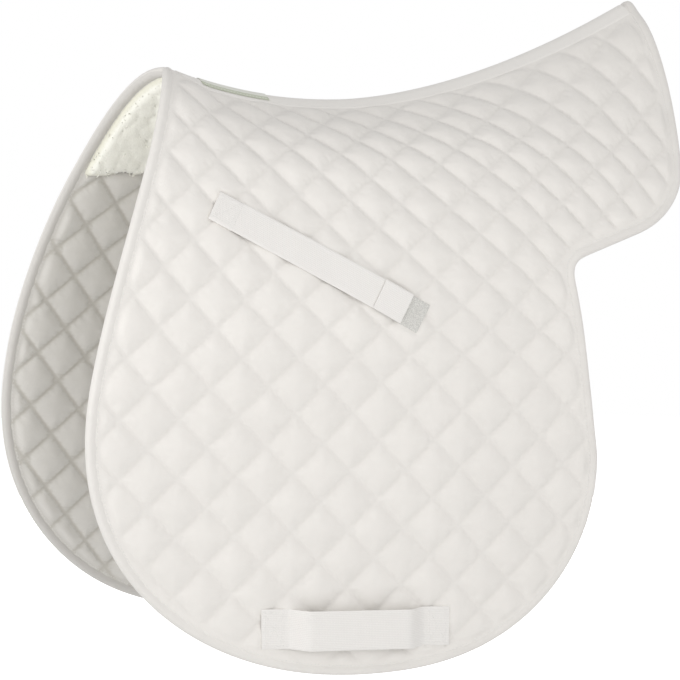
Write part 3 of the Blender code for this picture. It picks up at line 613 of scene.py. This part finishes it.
def blownSwatch():
    # A swatch of cloth, held along its stitch lines and blown up from behind: how high each square rises
    n, size = quilt["cells"], quilt["cells"] * swatch["squares"] + 1
    i, j = np.meshgrid(np.arange(size), np.arange(size), indexing="ij")
    held = (i % n == 0) | (j % n == 0)
    seeded = np.random.default_rng(swatch["seed"])
    shake = np.where(held, 0, seeded.uniform(-1, 1, (3, size, size)))
    x, y = ((grid + swatch["shake"] * move) * swatch["pitch"] / n for grid, move in zip((i, j), shake))
    z = np.where(held, 0, swatch["lift"] + swatch["liftShake"] * shake[2])
    points = np.stack([x, y, z], axis=-1).reshape(-1, 3) * swatch["scale"]
    item = makeMesh("swatch", points, gridFaces(size, size), flip=True)
    item.vertex_groups.new(name="held").add(np.flatnonzero(held.ravel()).tolist(), 1.0, "REPLACE")
    cloth = item.modifiers.new("cloth", "CLOTH")
    for key, value in swatch["settings"].items():
        setattr(cloth.settings, key, value)
    cloth.settings.effector_weights.gravity = 0
    cloth.collision_settings.use_collision = False
    cloth.point_cache.frame_start, cloth.point_cache.frame_end = 1, swatch["frames"]
    for step in range(1, swatch["frames"] + 1):
        bpy.context.scene.frame_set(step)
    mesh = item.evaluated_get(bpy.context.evaluated_depsgraph_get()).data
    places = np.empty(len(mesh.vertices) * 3, np.float32)
    mesh.vertices.foreach_get("co", places)
    squares = squaresOf(places.reshape(size, size, 3)[:, :, 2] / swatch["scale"])
    bpy.data.objects.remove(item, do_unlink=True)
    bpy.context.scene.frame_set(1)
    print("the quilting rises", round(1000 * float(squares.max()), 1), "mm in the swatch")
    return np.clip(squares / np.percentile(squares, 99), 0, swatch["highest"])


squares = blownSwatch()


def inBox(s, q, top):  # inside the box round the outline and below the q given
    return (s > quilt["front"]) & (s < quilt["rear"]) & (q > top) & (q < quilt["low"])


def quiltedGrid(side, top):
    # Fine cells along the stitch lines, inside the outline and below top, which gives a q at each s
    n, spare = quilt["cells"], quilt["spare"]
    boxS, boxQ = np.meshgrid((quilt["front"], quilt["rear"]), (quilt["top"], quilt["low"]))
    i, j = np.meshgrid(*(np.arange((math.floor(x.min()) - spare) * n, (math.ceil(x.max()) + spare) * n + 1)
                         for x in toLattice(boxS, boxQ, side)), indexing="ij")
    s, q = fromLattice(i / n, j / n, side)
    return cutOut(inBox(s, q, top(s)), quilt["edge"], s, q, i=i, j=j)


def puffOf(grid, shift):  # each square takes one of the swatch's squares, picked by its place
    n, (byA, byB, both) = quilt["cells"], quilt["picks"]
    a, b = grid["i"] // n, grid["j"] // n
    return squares[(a * byA + b * byB + (a * b) % both + shift) % len(squares), grid["i"] % n, grid["j"] % n]


def roomFor(s, q):  # how high the cover may rise: less under the webbing, and less again where that is sewn down
    soft, reach, width = quilt["soft"], strap["length"] + strap["patchOver"], strap["width"] / 2
    run, across = turned(s - strap["start"][0], q - strap["start"][1], -strap["angle"])
    across = np.abs(across)
    under = (1 - smooth(across, width, width + soft)) * smooth(run, -soft, 0) * (1 - smooth(run, reach, reach + soft))
    sewn = under * np.maximum(1 - smooth(run, strap["anchor"], strap["anchor"] + soft),
                              smooth(run, reach - strap["patch"] - soft, reach - strap["patch"]))
    ds = np.abs(s - loop["s"])
    dq = np.abs(q - loop["q"] - (s - loop["s"]) * loop["slope"])
    end, width = loop["length"] / 2, loop["width"] / 2
    foot = ((1 - smooth(dq, width, width + soft)) * (1 - smooth(ds, end, end + soft))
            * smooth(ds, end - loop["sewn"] - soft, end - loop["sewn"]))
    return mix(mix(quilt["open"], quilt["underStrap"], under), quilt["underSewn"], np.maximum(sewn, foot))


def ironed(height, edge, flat, fromTape=None):  # flat under the edging, and under the spine tape where it is near
    height = mix(flat, height, smooth(edge, edging["width"], edging["width"] + quilt["soft"]))
    if fromTape is None:
        return height
    return mix(quilt["underTape"], height, smooth(fromTape, quilt["tapeClear"], quilt["soft"]))


def layer(name, side, piece, height, puff, wall, look, slotName, nodes, fill):
    # A padded layer laid on the pad at the heights given, facing away from the wadding, with its wall's thickness
    g, faces = piece
    facesOut = height.mean() > 0
    item = makeMesh(f"{side}_{name}", onPad(g["s"], g["q"], height, side), faces, np.stack([g["s"], g["q"]], axis=1),
                    {"puff": puff}, flip=(side == "near") == facesOut)
    thicken(item, wall)
    finish(item, looks[look], slotName, *(f"{side}_{node}" for node in nodes), side=side, padded=fill)


def quiltedCover(side, shift):  # the swatch's squares above the channels, flatter under what is sewn over them
    piece = quiltedGrid(side, lambda s: crestQ(s) + quilt["crest"])
    g = piece[0]
    puff = puffOf(g, shift)
    height = np.minimum(quilt["channel"] + quilt["puff"] * puff, roomFor(g["s"], g["q"]))
    height = ironed(height, g["edge"], quilt["underEdging"], g["q"] - crestQ(g["s"]) - spine["tape"]["width"] / 2)
    layer("quilted_cover", side, piece, height, puff, quilt["wall"], "cotton", "quilted_cotton",
          ("top_cover", "flap_cover", "top_wadding", "flap_wadding"), quilt["fill"])


def quiltedLining(side, shift):  # the same squares on the horse's side, sinking where the fleece begins
    piece = quiltedGrid(side, lambda s: np.full(s.shape, quilt["liningTop"]))
    g = piece[0]
    puff = puffOf(g, shift) * smooth(g["q"], *quilt["liningFade"])
    height = -ironed(quilt["channel"] + quilt["liningPuff"] * puff, g["edge"], quilt["underEdgingBack"])
    layer("quilted_lining", side, piece, height, puff, quilt["wall"], "lining", "lining_cotton", ("flap_lining",),
          quilt["liningFill"])


for side, shift in zip(sides, (0, 3)):
    quiltedCover(side, shift)
    quiltedLining(side, shift + 5)
print("quilted cover and lining done")


# Edging: a tape folded over the raw edge

def edgingProfile():
    # Closed section of the tape: distance in from the edge and height, out over the bulge and back inside it
    w, f, b = edging["width"], edging["front"], edging["back"]
    outer = np.array([
        (w, -b * 0.62), (w - 0.0022, -b * 0.60), (w - 0.0036, -b * 0.80), (w - 0.0056, -b * 0.97),
        (0.0042, -b), (0.0024, -b * 0.90), (0.0010, -b * 0.62), (0.0002, -b * 0.20), (0.0002, f * 0.25),
        (0.0010, f * 0.64), (0.0024, f * 0.90), (0.0042, f), (w - 0.0056, f * 0.98), (w - 0.0036, f * 0.84),
        (w - 0.0022, f * 0.68), (w, f * 0.70)])
    fine = eased(evenly(outer, edging["fine"]), edging["easing"])
    tangent = unit(np.gradient(fine, axis=0))
    inner = fine + np.stack([tangent[:, 1], -tangent[:, 0]], axis=1) * edging["tape"]
    return np.vstack([fine, inner[::-1]]), len(fine)


def squared(s, q, run, d, end, sign):  # near the crest the tape turns square to it, so that both sides meet
    toward = (1 - smooth(run, 0.0, edging["square"]))[:, None]
    crestS = edgeLine[end, 0] + sign * d
    squareS = crestS + (edgeLine[:, 0] - edgeLine[end, 0])[:, None]
    return mix(s, squareS, toward), mix(q, crestQ(crestS) + run[:, None], toward)


def edgingTape(side):
    # The section carried along the outline, square to it, with a pucker of two sines that is deepest mid-tape
    profile, half = edgingProfile()
    d, h = profile[:, 0], profile[:, 1]
    s, q = (edgeLine[:, axis, None] + edgeInward[:, axis, None] * d for axis in (0, 1))
    s, q = squared(s, q, edgeRun, d, 0, 1)
    s, q = squared(s, q, edgeRun[-1] - edgeRun, d, -1, -1)
    (short, drift, slow), (much, little) = edging["puckers"], edging["puckerShares"]
    pucker = much * np.sin(edgeRun * short + 2 * np.sin(edgeRun * drift)) + little * np.sin(edgeRun * slow + 1.3)
    ripple = edging["ripple"] * pucker[:, None] * np.sin(np.clip(d / edging["width"], 0, 1) * np.pi) * np.sign(h)
    # 1 on the tape's front leg and 0 on its back leg, where the material paints shade
    front = np.tile(smooth(h, -0.001, 0.001), len(edgeRun))
    item = carried(f"{side}_edging_tape", s, np.maximum(q, crestQ(s)), h + ripple, edgeRun, travel(profile), half,
                   side, {"puff": front}, 50)
    finish(item, looks["edging"], "binding_cotton", f"{side}_flap_binding",
           "pommel_binding" if side == "near" else "cantle_binding", side=side)


# Stitches: one small spindle of thread at each place, with six sides and two pointed ends
stitch = {
    "long": (0.0030, 0.00075), "box": (0.0026, 0.0007), "tape": (0.0024, 0.0006), "flat": 0.8, "waist": 0.3,
    "sides": 6, "step": 0.0004, "up": 0.001, "dip": 0.0004, "spacing": 0.0030, "proud": 0.00005,
}


def spindles(name, places, ways, height, side, size, nodes=(), body=None):
    # Two rings and a point past each, laid along the way on the pad; the points dip into the cloth
    length, width = stitch[size]
    n, step, (s, q) = stitch["sides"], stitch["step"], places.T
    middle = onPad(s, q, height, side)
    tangent = unit(onPad(s + ways[:, 0] * step, q + ways[:, 1] * step, height, side) - middle)
    lift = unit(onPad(s, q, height + stitch["up"], side) - middle)
    middle, tangent, lift, across = (x[:, None] for x in (middle, tangent, lift, np.cross(lift, tangent)))
    ring = np.arange(n)
    turn = (ring * 2 * np.pi / n)[:, None]
    circle = width / 2 * (np.cos(turn) * across + stitch["flat"] * np.sin(turn) * lift)
    dip = math.copysign(stitch["dip"], height) * lift
    rings = [middle + end * stitch["waist"] * length * tangent + circle for end in (-1, 1)]
    tips = [middle + end * length / 2 * tangent - dip for end in (-1, 1)]
    after, same = (ring + 1) % n, ring * 0
    one = np.vstack([np.stack(corners, axis=1) for corners in (
        (ring, after, after + n), (ring, after + n, ring + n),
        (after, ring, same + 2 * n), (ring + n, after + n, same + 2 * n + 1))])
    faces = (one + (2 * n + 2) * np.arange(len(s))[:, None, None]).reshape(-1, 3)
    item = makeMesh(name, np.concatenate(rings + tips, axis=1).reshape(-1, 3), faces)
    finish(item, looks["thread"], "thread", *nodes, side=side, body=body)


def seam(line, spacing=stitch["spacing"]):  # even places along a flat line, with the way it runs at each
    even = evenly(np.asarray(line, float), spacing)
    return even, unit(np.gradient(even, axis=0))


def boxSeam(corners):  # round a box and from corner to corner across it
    lines = [corners[[k, (k + 1) % 4]] for k in range(4)] + [corners[[0, 2]], corners[[1, 3]]]
    rows, ways = zip(*[seam(line) for line in lines])
    return np.vstack([row[:-1] for row in rows]), np.vstack([way[:-1] for way in ways])


def quiltingThread(side):
    # Stitches between the crossings of every line on both faces, each turned along its own line
    per, reach, step = quilt["threadsPerSquare"], quilt["threadSquares"], 0.01
    between = (np.arange(-reach * per, reach * per) + 0.5) / per
    k, line = (x.ravel() for x in np.meshgrid(between, np.arange(-reach, reach + 1)))
    a, b = np.concatenate([k, line]), np.concatenate([line, k])
    stepA, stepB = np.repeat([(step, 0.0), (0.0, step)], len(k), axis=0).T
    places = np.stack(fromLattice(a, b, side), axis=1)
    ways = unit(np.stack(fromLattice(a + stepA, b + stepB, side), axis=1) - places)
    s, q = places.T
    close = inBox(s, q, crestQ(s) + spine["tape"]["width"] / 2 + quilt["tapeToThread"])
    places, ways = places[close], ways[close]
    s, q = places.T
    clear = (fromEdge(s, q) > edging["width"] + quilt["threadClear"]) & (roomFor(s, q) > quilt["threadRoom"])
    places, ways = places[clear], ways[clear]
    height, below = quilt["channel"] + quilt["threadLift"], places[:, 1] > quilt["threadTop"]
    spindles(f"{side}_quilting_thread", places, ways, height, side, "long")
    spindles(f"{side}_lining_thread", places[below], ways[below], -height, side, "long")


def edgingThread(side):  # a row on each leg of the tape, an even way in from the edge
    inside = (edgeRun > edging["square"]) & (edgeRun < edgeRun[-1] - edging["square"])
    places, ways = seam((edgeLine + edgeInward * edging["stitchIn"])[inside], edging["spacing"])
    for face, height in (("front", edging["front"] * edging["stitchFront"]),
                         ("back", -edging["back"] * edging["stitchBack"])):
        spindles(f"{side}_edging_{face}_stitch", places, ways, height, side, "box")


for side in sides:
    edgingTape(side)
    edgingThread(side)
    quiltingThread(side)
print("edging and quilting thread done")


# Webbing: a flat section carried along a path of flat places
section = {
    "columns": 22, "crestColumns": 24, "step": 0.003, "round": 0.0007, "rounding": 0.92, "selvedge": 0.00010,
    "selvedgeFrom": 0.0028, "selvedgeTo": 0.0012, "curlFrom": 0.0035,
}


def flatSection(width, thickness, columns, curl):
    # Closed section with rounded edges and a slightly raised selvedge, across and up; curl turns its edges down
    w, r = width / 2, min(thickness / 2, section["round"])
    x = np.linspace(-w, w, columns)
    over = np.sqrt(1 - section["rounding"] * np.clip((np.abs(x) - (w - r)) / r, 0, 1) ** 2)
    rim = section["selvedge"] * smooth(np.abs(x), w - section["selvedgeFrom"], w - section["selvedgeTo"]) * over
    down = curl * smooth(np.abs(x), w - section["curlFrom"], w)
    top, bottom = thickness / 2 * (1 + over) + rim - down, thickness / 2 * (1 - over) - down
    return np.concatenate([x, x[::-1]]), np.concatenate([bottom, top[::-1]])


def strip(name, run, centre, way, base, width, thickness, side, columns=section["columns"], curl=0.0):
    # At each station run is the length along the strip, centre its flat place and base its under side's height
    across, height = flatSection(width, thickness, columns, curl)
    s, q = (centre[:, axis, None] + across * way[axis] for axis in (0, 1))
    return carried(name, s, q, base[:, None] + height, run, across, columns, side)


def strapPlace(run, across=0.0):  # run along the strap from its sewn end, and across it
    run, across = np.broadcast_arrays(np.asarray(run, float), across)
    return np.array(strap["start"]) + run[..., None] * strapRun + across[..., None] * strapSide


def boxStitches(name, places, height, side, node):  # sewn to the flap, a little proud of the webbing
    rows, ways = boxSeam(places)
    spindles(f"{side}_{name}", rows, ways, height + stitch["proud"], side, "box", (f"{side}_{node}",), f"{side}_flap")


def strapSet(side):
    # Sewn end, strap, folded tab and hook patch along one line, and the box stitches. Each is straight but for its
    # sag, which grows with the square of a sine from end to end
    t, length, reach = strap["thickness"], strap["length"], strap["length"] + strap["patchOver"]
    seat, top = strap["seat"], strap["base"] + t
    for name, start, end, base, thickness, body, node, look, slotName, sag in (
            ("sewn_end", 0.0, strap["anchor"], seat, top - seat, "flap", "anchor", "webbing", "webbing", 0.0),
            ("webbing", strap["anchor"] + strap["gap"], length, strap["base"], t, "strap", "", "webbing", "webbing",
             strap["sag"]),
            ("end_tab", length - strap["tab"], length - strap["gap"], strap["tabBase"], t, "strap_tab", "tab",
             "webbing", "webbing", 0.0),
            ("hook_patch", reach - strap["patch"], reach, seat, strap["patchThickness"], "flap", "patch", "hook",
             "hook_tape", 0.0)):
        run = np.linspace(start, end, max(strap["fewestStations"], round((end - start) / section["step"])))
        lift = sag * np.sin((run - start) / (end - start) * np.pi) ** 2 * (1 + 0.5 * np.sin(run * strap["sagWave"]))
        item = strip(f"{side}_strap_{name}", run, strapPlace(run), strapSide, base + lift, strap["width"], thickness,
                     side)
        finish(item, looks[look], slotName, f"{side}_strap_{node}".rstrip("_"), body=f"{side}_{body}")
    near, far, half = strap["inset"], strap["anchor"] - strap["inset"], strap["width"] / 2 - strap["inset"]
    corners = strapPlace(np.array([near, far, far, near]), np.array([-half, -half, half, half]))
    boxStitches("strap_box_stitch", corners, top, side, "strap_stitching")


def loopPlace(length, across=0.0):  # length along the girth loop from its middle, and across it
    length, across = np.broadcast_arrays(np.asarray(length, float), across)
    return np.stack([loop["s"] + length, loop["q"] + length * loop["slope"] + across], axis=-1)


def girthLoop(side):  # flat where it is sewn, and raised clear of the cover between
    end = loop["length"] / 2
    run = np.linspace(-end, end, loop["points"])
    clear = end - loop["sewn"] - loop["rise"]
    height = mix(loop["clear"], loop["seat"], smooth(np.abs(run), clear, end - loop["sewn"]))
    item = strip(f"{side}_girth_loop_webbing", run, loopPlace(run), (0.0, 1.0), height, loop["width"],
                 loop["thickness"], side)
    finish(item, looks["webbing"], "webbing", f"{side}_girth_loop", body=f"{side}_flap")
    half = loop["width"] / 2 - loop["inset"]
    for place, sign in (("front", -1), ("rear", 1)):
        outer, inner = sign * (end - loop["inset"]), sign * (end - loop["sewn"] + loop["inset"])
        corners = loopPlace(np.array([outer, inner, inner, outer]), np.array([-half, -half, half, half]))
        boxStitches(f"girth_loop_{place}_box_stitch", corners, loop["seat"] + loop["thickness"], side,
                    f"girth_loop_{place}_stitching")


for side in sides:
    strapSet(side)
    girthLoop(side)
print("straps and girth loops done")


# Spine tape over the seam of the two sides, with a blank label near the pommel

def crestLine(start, end, count, aside=0.0):  # flat places along the crest, or to a side of it, and their x
    x = np.linspace(start, end, count)
    return x, np.stack([x / along[0], crestQ(x / along[0]) + aside], axis=1)


def crestStrip(name):  # lies over the crest from side to side
    piece = spine[name]
    x, centre = crestLine(piece["front"], piece["rear"], round((piece["rear"] - piece["front"]) / section["step"]))
    item = strip(f"spine_{name}_cloth", x, centre, (0.0, 1.0), np.full(len(x), piece["base"]), piece["width"],
                 piece["thickness"], "near", section["crestColumns"], piece["curl"])
    finish(item, looks[name], piece["slot"], f"spine_{name}", body="spine")


def crestThread(name):  # a row of stitches on each side of the crest
    piece, inset = spine[name], spine["stitchEnd"]
    for label, sign in (("near", 1), ("far", -1)):
        aside = sign * (piece["width"] / 2 - piece["stitchIn"])
        line = crestLine(piece["front"] + inset, piece["rear"] - inset, 200, aside)[1]
        places, ways = seam(line, spine["stitchSpacing"])
        spindles(f"{label}_spine_{name}_stitch", places, ways, piece["base"] + piece["thickness"], "near", "tape",
                 body="spine")


for step in (crestStrip, crestThread):
    for name in ("tape", "label"):
        step(name)
print("spine done")


# Fleece: a felted base in soft clumps, and short fine locks all over it
fleece = {
    "front": -0.30, "rear": 0.37, "top": -0.21, "low": 0.020, "locksLow": 0.014, "middle": 0.07, "cell": 0.0024,
    "clump": 0.0150, "smallClump": 2.3, "floor": 0.16, "bigShare": 0.66, "smallShare": 0.18, "least": 0.0016,
    "base": 0.0022, "pile": 0.0084, "lowDrop": 0.55, "under": 0.0040, "edge": 0.0104, "whole": 0.0170, "wall": 0.0010,
    "fill": 0.5, "past": 0.006, "wander": 0.003, "creaseShade": 0.0045, "crownLit": 0.0095,
    "first": 0.0132, "spacing": 0.0031, "lock": 0.0013, "lockWidth": 0.0011, "curl": 0.0013, "lean": 0.0034,
    "turns": 0.8, "rings": 4, "sunk": 0.0008, "clear": 0.0015, "taper": 0.7, "taperPower": 1.5, "ringShadeFade": 0.7,
    "tipShadeFade": 0.8, "curlShares": (0.4, 0.6), "lockSpread": (0.6, 1.1), "widthSpread": (0.8, 1.2),
    "aside": (0.3, 0.2, 1.0), "tip": 0.3,
    "shaken": (97, 89), "clumpRoom": (0.15, 0.7), "clumpReach": 0.95, "clumpSeeds": (11, 12),
    "pastSoft": (-0.010, 0.002), "wanderWaves": (170, 61), "crestRoom": 0.0002,
}


def clumps(x, y, size, seed):  # distance to the nearest clump's middle, in clump sizes; middles sit on a shaken grid
    (many, few), (near, room) = fleece["shaken"], fleece["clumpRoom"]
    shake = np.random.default_rng(seed).random((many, few, 2))
    cx, cy = np.floor(x / size).astype(int), np.floor(y / size).astype(int)
    nearest = np.full(x.shape, 9.0)
    for gx, gy in ((cx + i, cy + j) for i in (-1, 0, 1) for j in (-1, 0, 1)):
        own = near + room * shake[gx % many, gy % few]
        nearest = np.minimum(nearest, np.hypot(x / size - gx - own[..., 0], y / size - gy - own[..., 1]))
    return nearest


def fleeceHeight(s, q, edge):  # how far the felt stands out: domed clumps, low at the edging and along the lower edge
    sizes = (fleece["clump"], fleece["clump"] / fleece["smallClump"])
    big, small = (np.sqrt(np.clip(1 - (clumps(s + 1, q + 1, size, seed) / fleece["clumpReach"]) ** 2, 0, 1))
                  for size, seed in zip(sizes, fleece["clumpSeeds"]))
    full = fleece["floor"] + fleece["bigShare"] * big + fleece["smallShare"] * small
    above, below = fleece["pastSoft"]
    lowered = fleece["lowDrop"] * smooth(q, fleece["past"] + above, fleece["past"] + below)
    ends = smooth(edge, fleece["edge"], fleece["whole"]) * (1 - lowered)
    return fleece["least"] + (fleece["base"] - fleece["least"] + fleece["pile"] * full) * ends


def fleeceLitShare(height):  # how much light is painted on the felt: 0, the deepest painted shade, in the creases and 1 on the crowns
    return smooth(height, fleece["creaseShade"], fleece["crownLit"])


def fleeceEnd(s):  # the lower edge wanders a little
    short, long = fleece["wanderWaves"]
    return fleece["past"] + fleece["wander"] * np.sin(s * short) * np.sin(s * long + 1)


def fleeceBase(side):  # an even grid, kept where it is under the arch and clear of the edging
    s, q = np.meshgrid(np.arange(fleece["front"], fleece["rear"], fleece["cell"]),
                       np.arange(fleece["top"], fleece["low"], fleece["cell"]), indexing="ij")
    close = (q > crestQ(s) - fleece["cell"]) & (q < fleeceEnd(s))
    piece = cutOut(close, fleece["under"], s, np.maximum(q, crestQ(s) + fleece["crestRoom"]))
    height = fleeceHeight(**piece[0])
    layer("fleece_lining", side, piece, -height, fleeceLitShare(height), fleece["wall"], "fleece", "fleece_wool",
          ("fleece",), fleece["fill"])


def fleeceCurls(side, end, seed):
    # Each lock is a tapered tube of four sides that leans over and turns as it comes away from the felt
    seeded = np.random.default_rng(seed)
    low, high = (fleece["front"], fleece["middle"]) if end == "front" else (fleece["middle"], fleece["rear"])
    s, q = np.meshgrid(np.arange(low, high, fleece["spacing"]),
                       np.arange(fleece["top"], fleece["locksLow"], fleece["spacing"]), indexing="ij")
    s, q = (x + seeded.uniform(-0.5, 0.5, x.shape) * fleece["spacing"] for x in (s, q))
    close = (q > crestQ(s)) & (q < fleeceEnd(s))
    s, q = s[close], q[close]
    edge = fromEdge(s, q)
    s, q, edge = (x[edge > fleece["first"]] for x in (s, q, edge))
    count, t = len(s), np.linspace(0, 1, fleece["rings"])[None]
    root = fleeceHeight(s, q, edge)[:, None] - fleece["sunk"]
    start, way = seeded.uniform(0, 2 * np.pi, (2, count, 1))
    turn = start + seeded.choice([-1, 1], (count, 1)) * fleece["turns"] * 2 * np.pi * t
    curl = fleece["curl"] * (fleece["curlShares"][0] + fleece["curlShares"][1] * t)
    rise = fleece["lock"] * seeded.uniform(*fleece["lockSpread"], (count, 1)) * np.sin(t * np.pi / 2)
    line = np.stack([x[:, None] + fleece["lean"] * t * t * part(way) + curl * (part(turn) - part(start))
                     for x, part in ((s, np.cos), (q, np.sin))] + [-root - rise], axis=-1)
    tangent = unit(np.gradient(line, axis=1))
    first = unit(np.cross(tangent, fleece["aside"]))
    second = np.cross(tangent, first)
    taper = 1 - fleece["taper"] * t ** fleece["taperPower"]
    width = (fleece["lockWidth"] * taper * seeded.uniform(*fleece["widthSpread"], (count, 1)))[..., None, None]
    angle = (np.arange(4) * np.pi / 2)[:, None]
    tube = line[:, :, None] + width * (np.cos(angle) * first[:, :, None] + np.sin(angle) * second[:, :, None])
    tip = line[:, -1] + fleece["tip"] * tangent[:, -1] * fleece["lockWidth"]
    flat = np.concatenate([tube.reshape(count, -1, 3), tip[:, None]], axis=1).reshape(-1, 3)
    k, last = np.arange(4), 4 * (fleece["rings"] - 1)
    walls = gridFaces(fleece["rings"], 4, closed=True)
    one = np.vstack([walls[:, [0, 1, 2]], walls[:, [0, 2, 3]], [[0, 2, 1], [0, 3, 2]],
                     np.stack([last + k, last + (k + 1) % 4, k * 0 + last + 4], axis=1)])
    faces = (one[None] + (last + 5) * np.arange(count)[:, None, None]).reshape(-1, 3)
    # painted shade: each lock takes the felt's painted shade at its root and is painted paler toward its tip
    tone = mix(fleeceLitShare(root), 1.0, np.concatenate([np.repeat(fleece["ringShadeFade"] * t[0], 4), [fleece["tipShadeFade"]]]))
    h = np.minimum(flat[:, 2], -fleece["clear"])
    item = makeMesh(f"{side}_fleece_curls_{end}", onPad(flat[:, 0], flat[:, 1], h, side), faces, flat[:, :2],
                    {"puff": tone}, flip=side == "near")
    finish(item, looks["locks"], "fleece_wool", side=side)


for side, seed in zip(sides, (31, 47)):
    fleeceBase(side)
    fleeceCurls(side, "front", seed)
    fleeceCurls(side, "rear", seed + 1)
print("fleece done")

# Studio: white all round for the camera, soft light mostly from the camera's side
studio = {
    "azimuth": math.radians(-27), "elevation": math.radians(7.5), "distance": 2.2, "target": (0.003, 0.0, -0.2235),
    "focalPixels": 2200, "imagePixels": 680, "sensor": 36.0, "world": 0.615,
    "floorDrop": 0.30, "floorSize": 3.2, "floorSides": 96, "floorGlow": 0.55,
}
lamps = {  # back along the view, right, up, size and power
    "keyLight": (2.0, -0.75, -0.12, 1.6, 8.5), "fillLight": (1.7, 0.95, 0.45, 1.6, 9.5),
    "insideLight": (0.52, -0.80, 0.20, 0.3, 1.6), "backLight": (-2.2, 0.0, 0.10, 1.6, 20.0),
}
target = np.array(studio["target"])
viewBack = np.array([math.sin(studio["azimuth"]) * math.cos(studio["elevation"]),
                     -math.cos(studio["azimuth"]) * math.cos(studio["elevation"]), math.sin(studio["elevation"])])
viewRight = np.array([math.cos(studio["azimuth"]), math.sin(studio["azimuth"]), 0.0])


def aimed(item, where):  # put there and turned to look at the target
    bpy.context.scene.collection.objects.link(item)
    item.location = where
    item.rotation_euler = Vector(target - where).to_track_quat("-Z", "Y").to_euler()
    return item


def makeCamera():  # its lens is the focal length in pixels times the sensor's width over the picture's
    camera = bpy.data.cameras.new("camera")
    camera.sensor_width = studio["sensor"]
    camera.lens = studio["sensor"] * studio["focalPixels"] / studio["imagePixels"]
    bpy.context.scene.camera = aimed(bpy.data.objects.new("camera", camera), target + viewBack * studio["distance"])


def makeLamps():  # each placed from the target by its way back, right and up
    for name, (back, right, up, size, power) in lamps.items():
        light = bpy.data.lights.new(name, "AREA")
        light.shape, light.size, light.energy = "DISK", size, power
        aimed(bpy.data.objects.new(name, light), target + viewBack * back + viewRight * right + np.array([0, 0, up]))


def seenDirectly(board):  # 1 where the camera, a reflection or clear glass looks, 0 for light
    path = board.node("ShaderNodeLightPath")
    rays = [path.output(f"Is {kind} Ray") for kind in ("Camera", "Glossy", "Transmission")]
    return rays[0].maths("MAXIMUM", rays[1]).maths("MAXIMUM", rays[2])


def makeFloor():  # a round floor that takes the shadow and glows for the camera alone
    n, low = studio["floorSides"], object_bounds()[0][2] - studio["floorDrop"]
    k = np.arange(n)
    turn = k * 2 * np.pi / n
    rim = np.stack([studio["floorSize"] * np.cos(turn), studio["floorSize"] * np.sin(turn), np.full(n, low)], axis=1)
    floor = makeMesh("studioFloor", np.vstack([rim, (0, 0, low)]), np.stack([k, (k + 1) % n, k * 0 + n], axis=1))
    cloth = Cloth("studioFloor", (0.9, 0.9, 0.9), 0.9, Specular_IOR_Level=0.1)
    glow = cloth.node("ShaderNodeEmission", None, {"Color": (1, 1, 1, 1), "Strength": studio["floorGlow"]})
    lit = Wire(cloth, cloth.shader.outputs[0])
    both = cloth.node("ShaderNodeAddShader", None, {0: lit, 1: glow})
    shown = cloth.node("ShaderNodeMixShader", None, {0: seenDirectly(cloth), 1: lit, 2: both})
    cloth.feed(cloth.tree.nodes["Material Output"].inputs[0], shown)
    floor.data.materials.append(cloth.material)


def makeWorld():  # white to the camera, and dimmer as light
    world = bpy.data.worlds.new("studio")
    bpy.context.scene.world = world
    world.use_nodes = True
    board = Board(world.node_tree)
    background = world.node_tree.nodes["Background"]
    background.inputs["Color"].default_value = (1, 1, 1, 1)
    strength = board.node("ShaderNodeMapRange", None,
                          {"Value": seenDirectly(board), "To Min": studio["world"], "To Max": 1.0})
    board.feed(background.inputs["Strength"], strength)


makeCamera()
makeLamps()
makeFloor()
makeWorld()
bpy.context.scene.view_settings.view_transform = "Standard"
print("studio done")
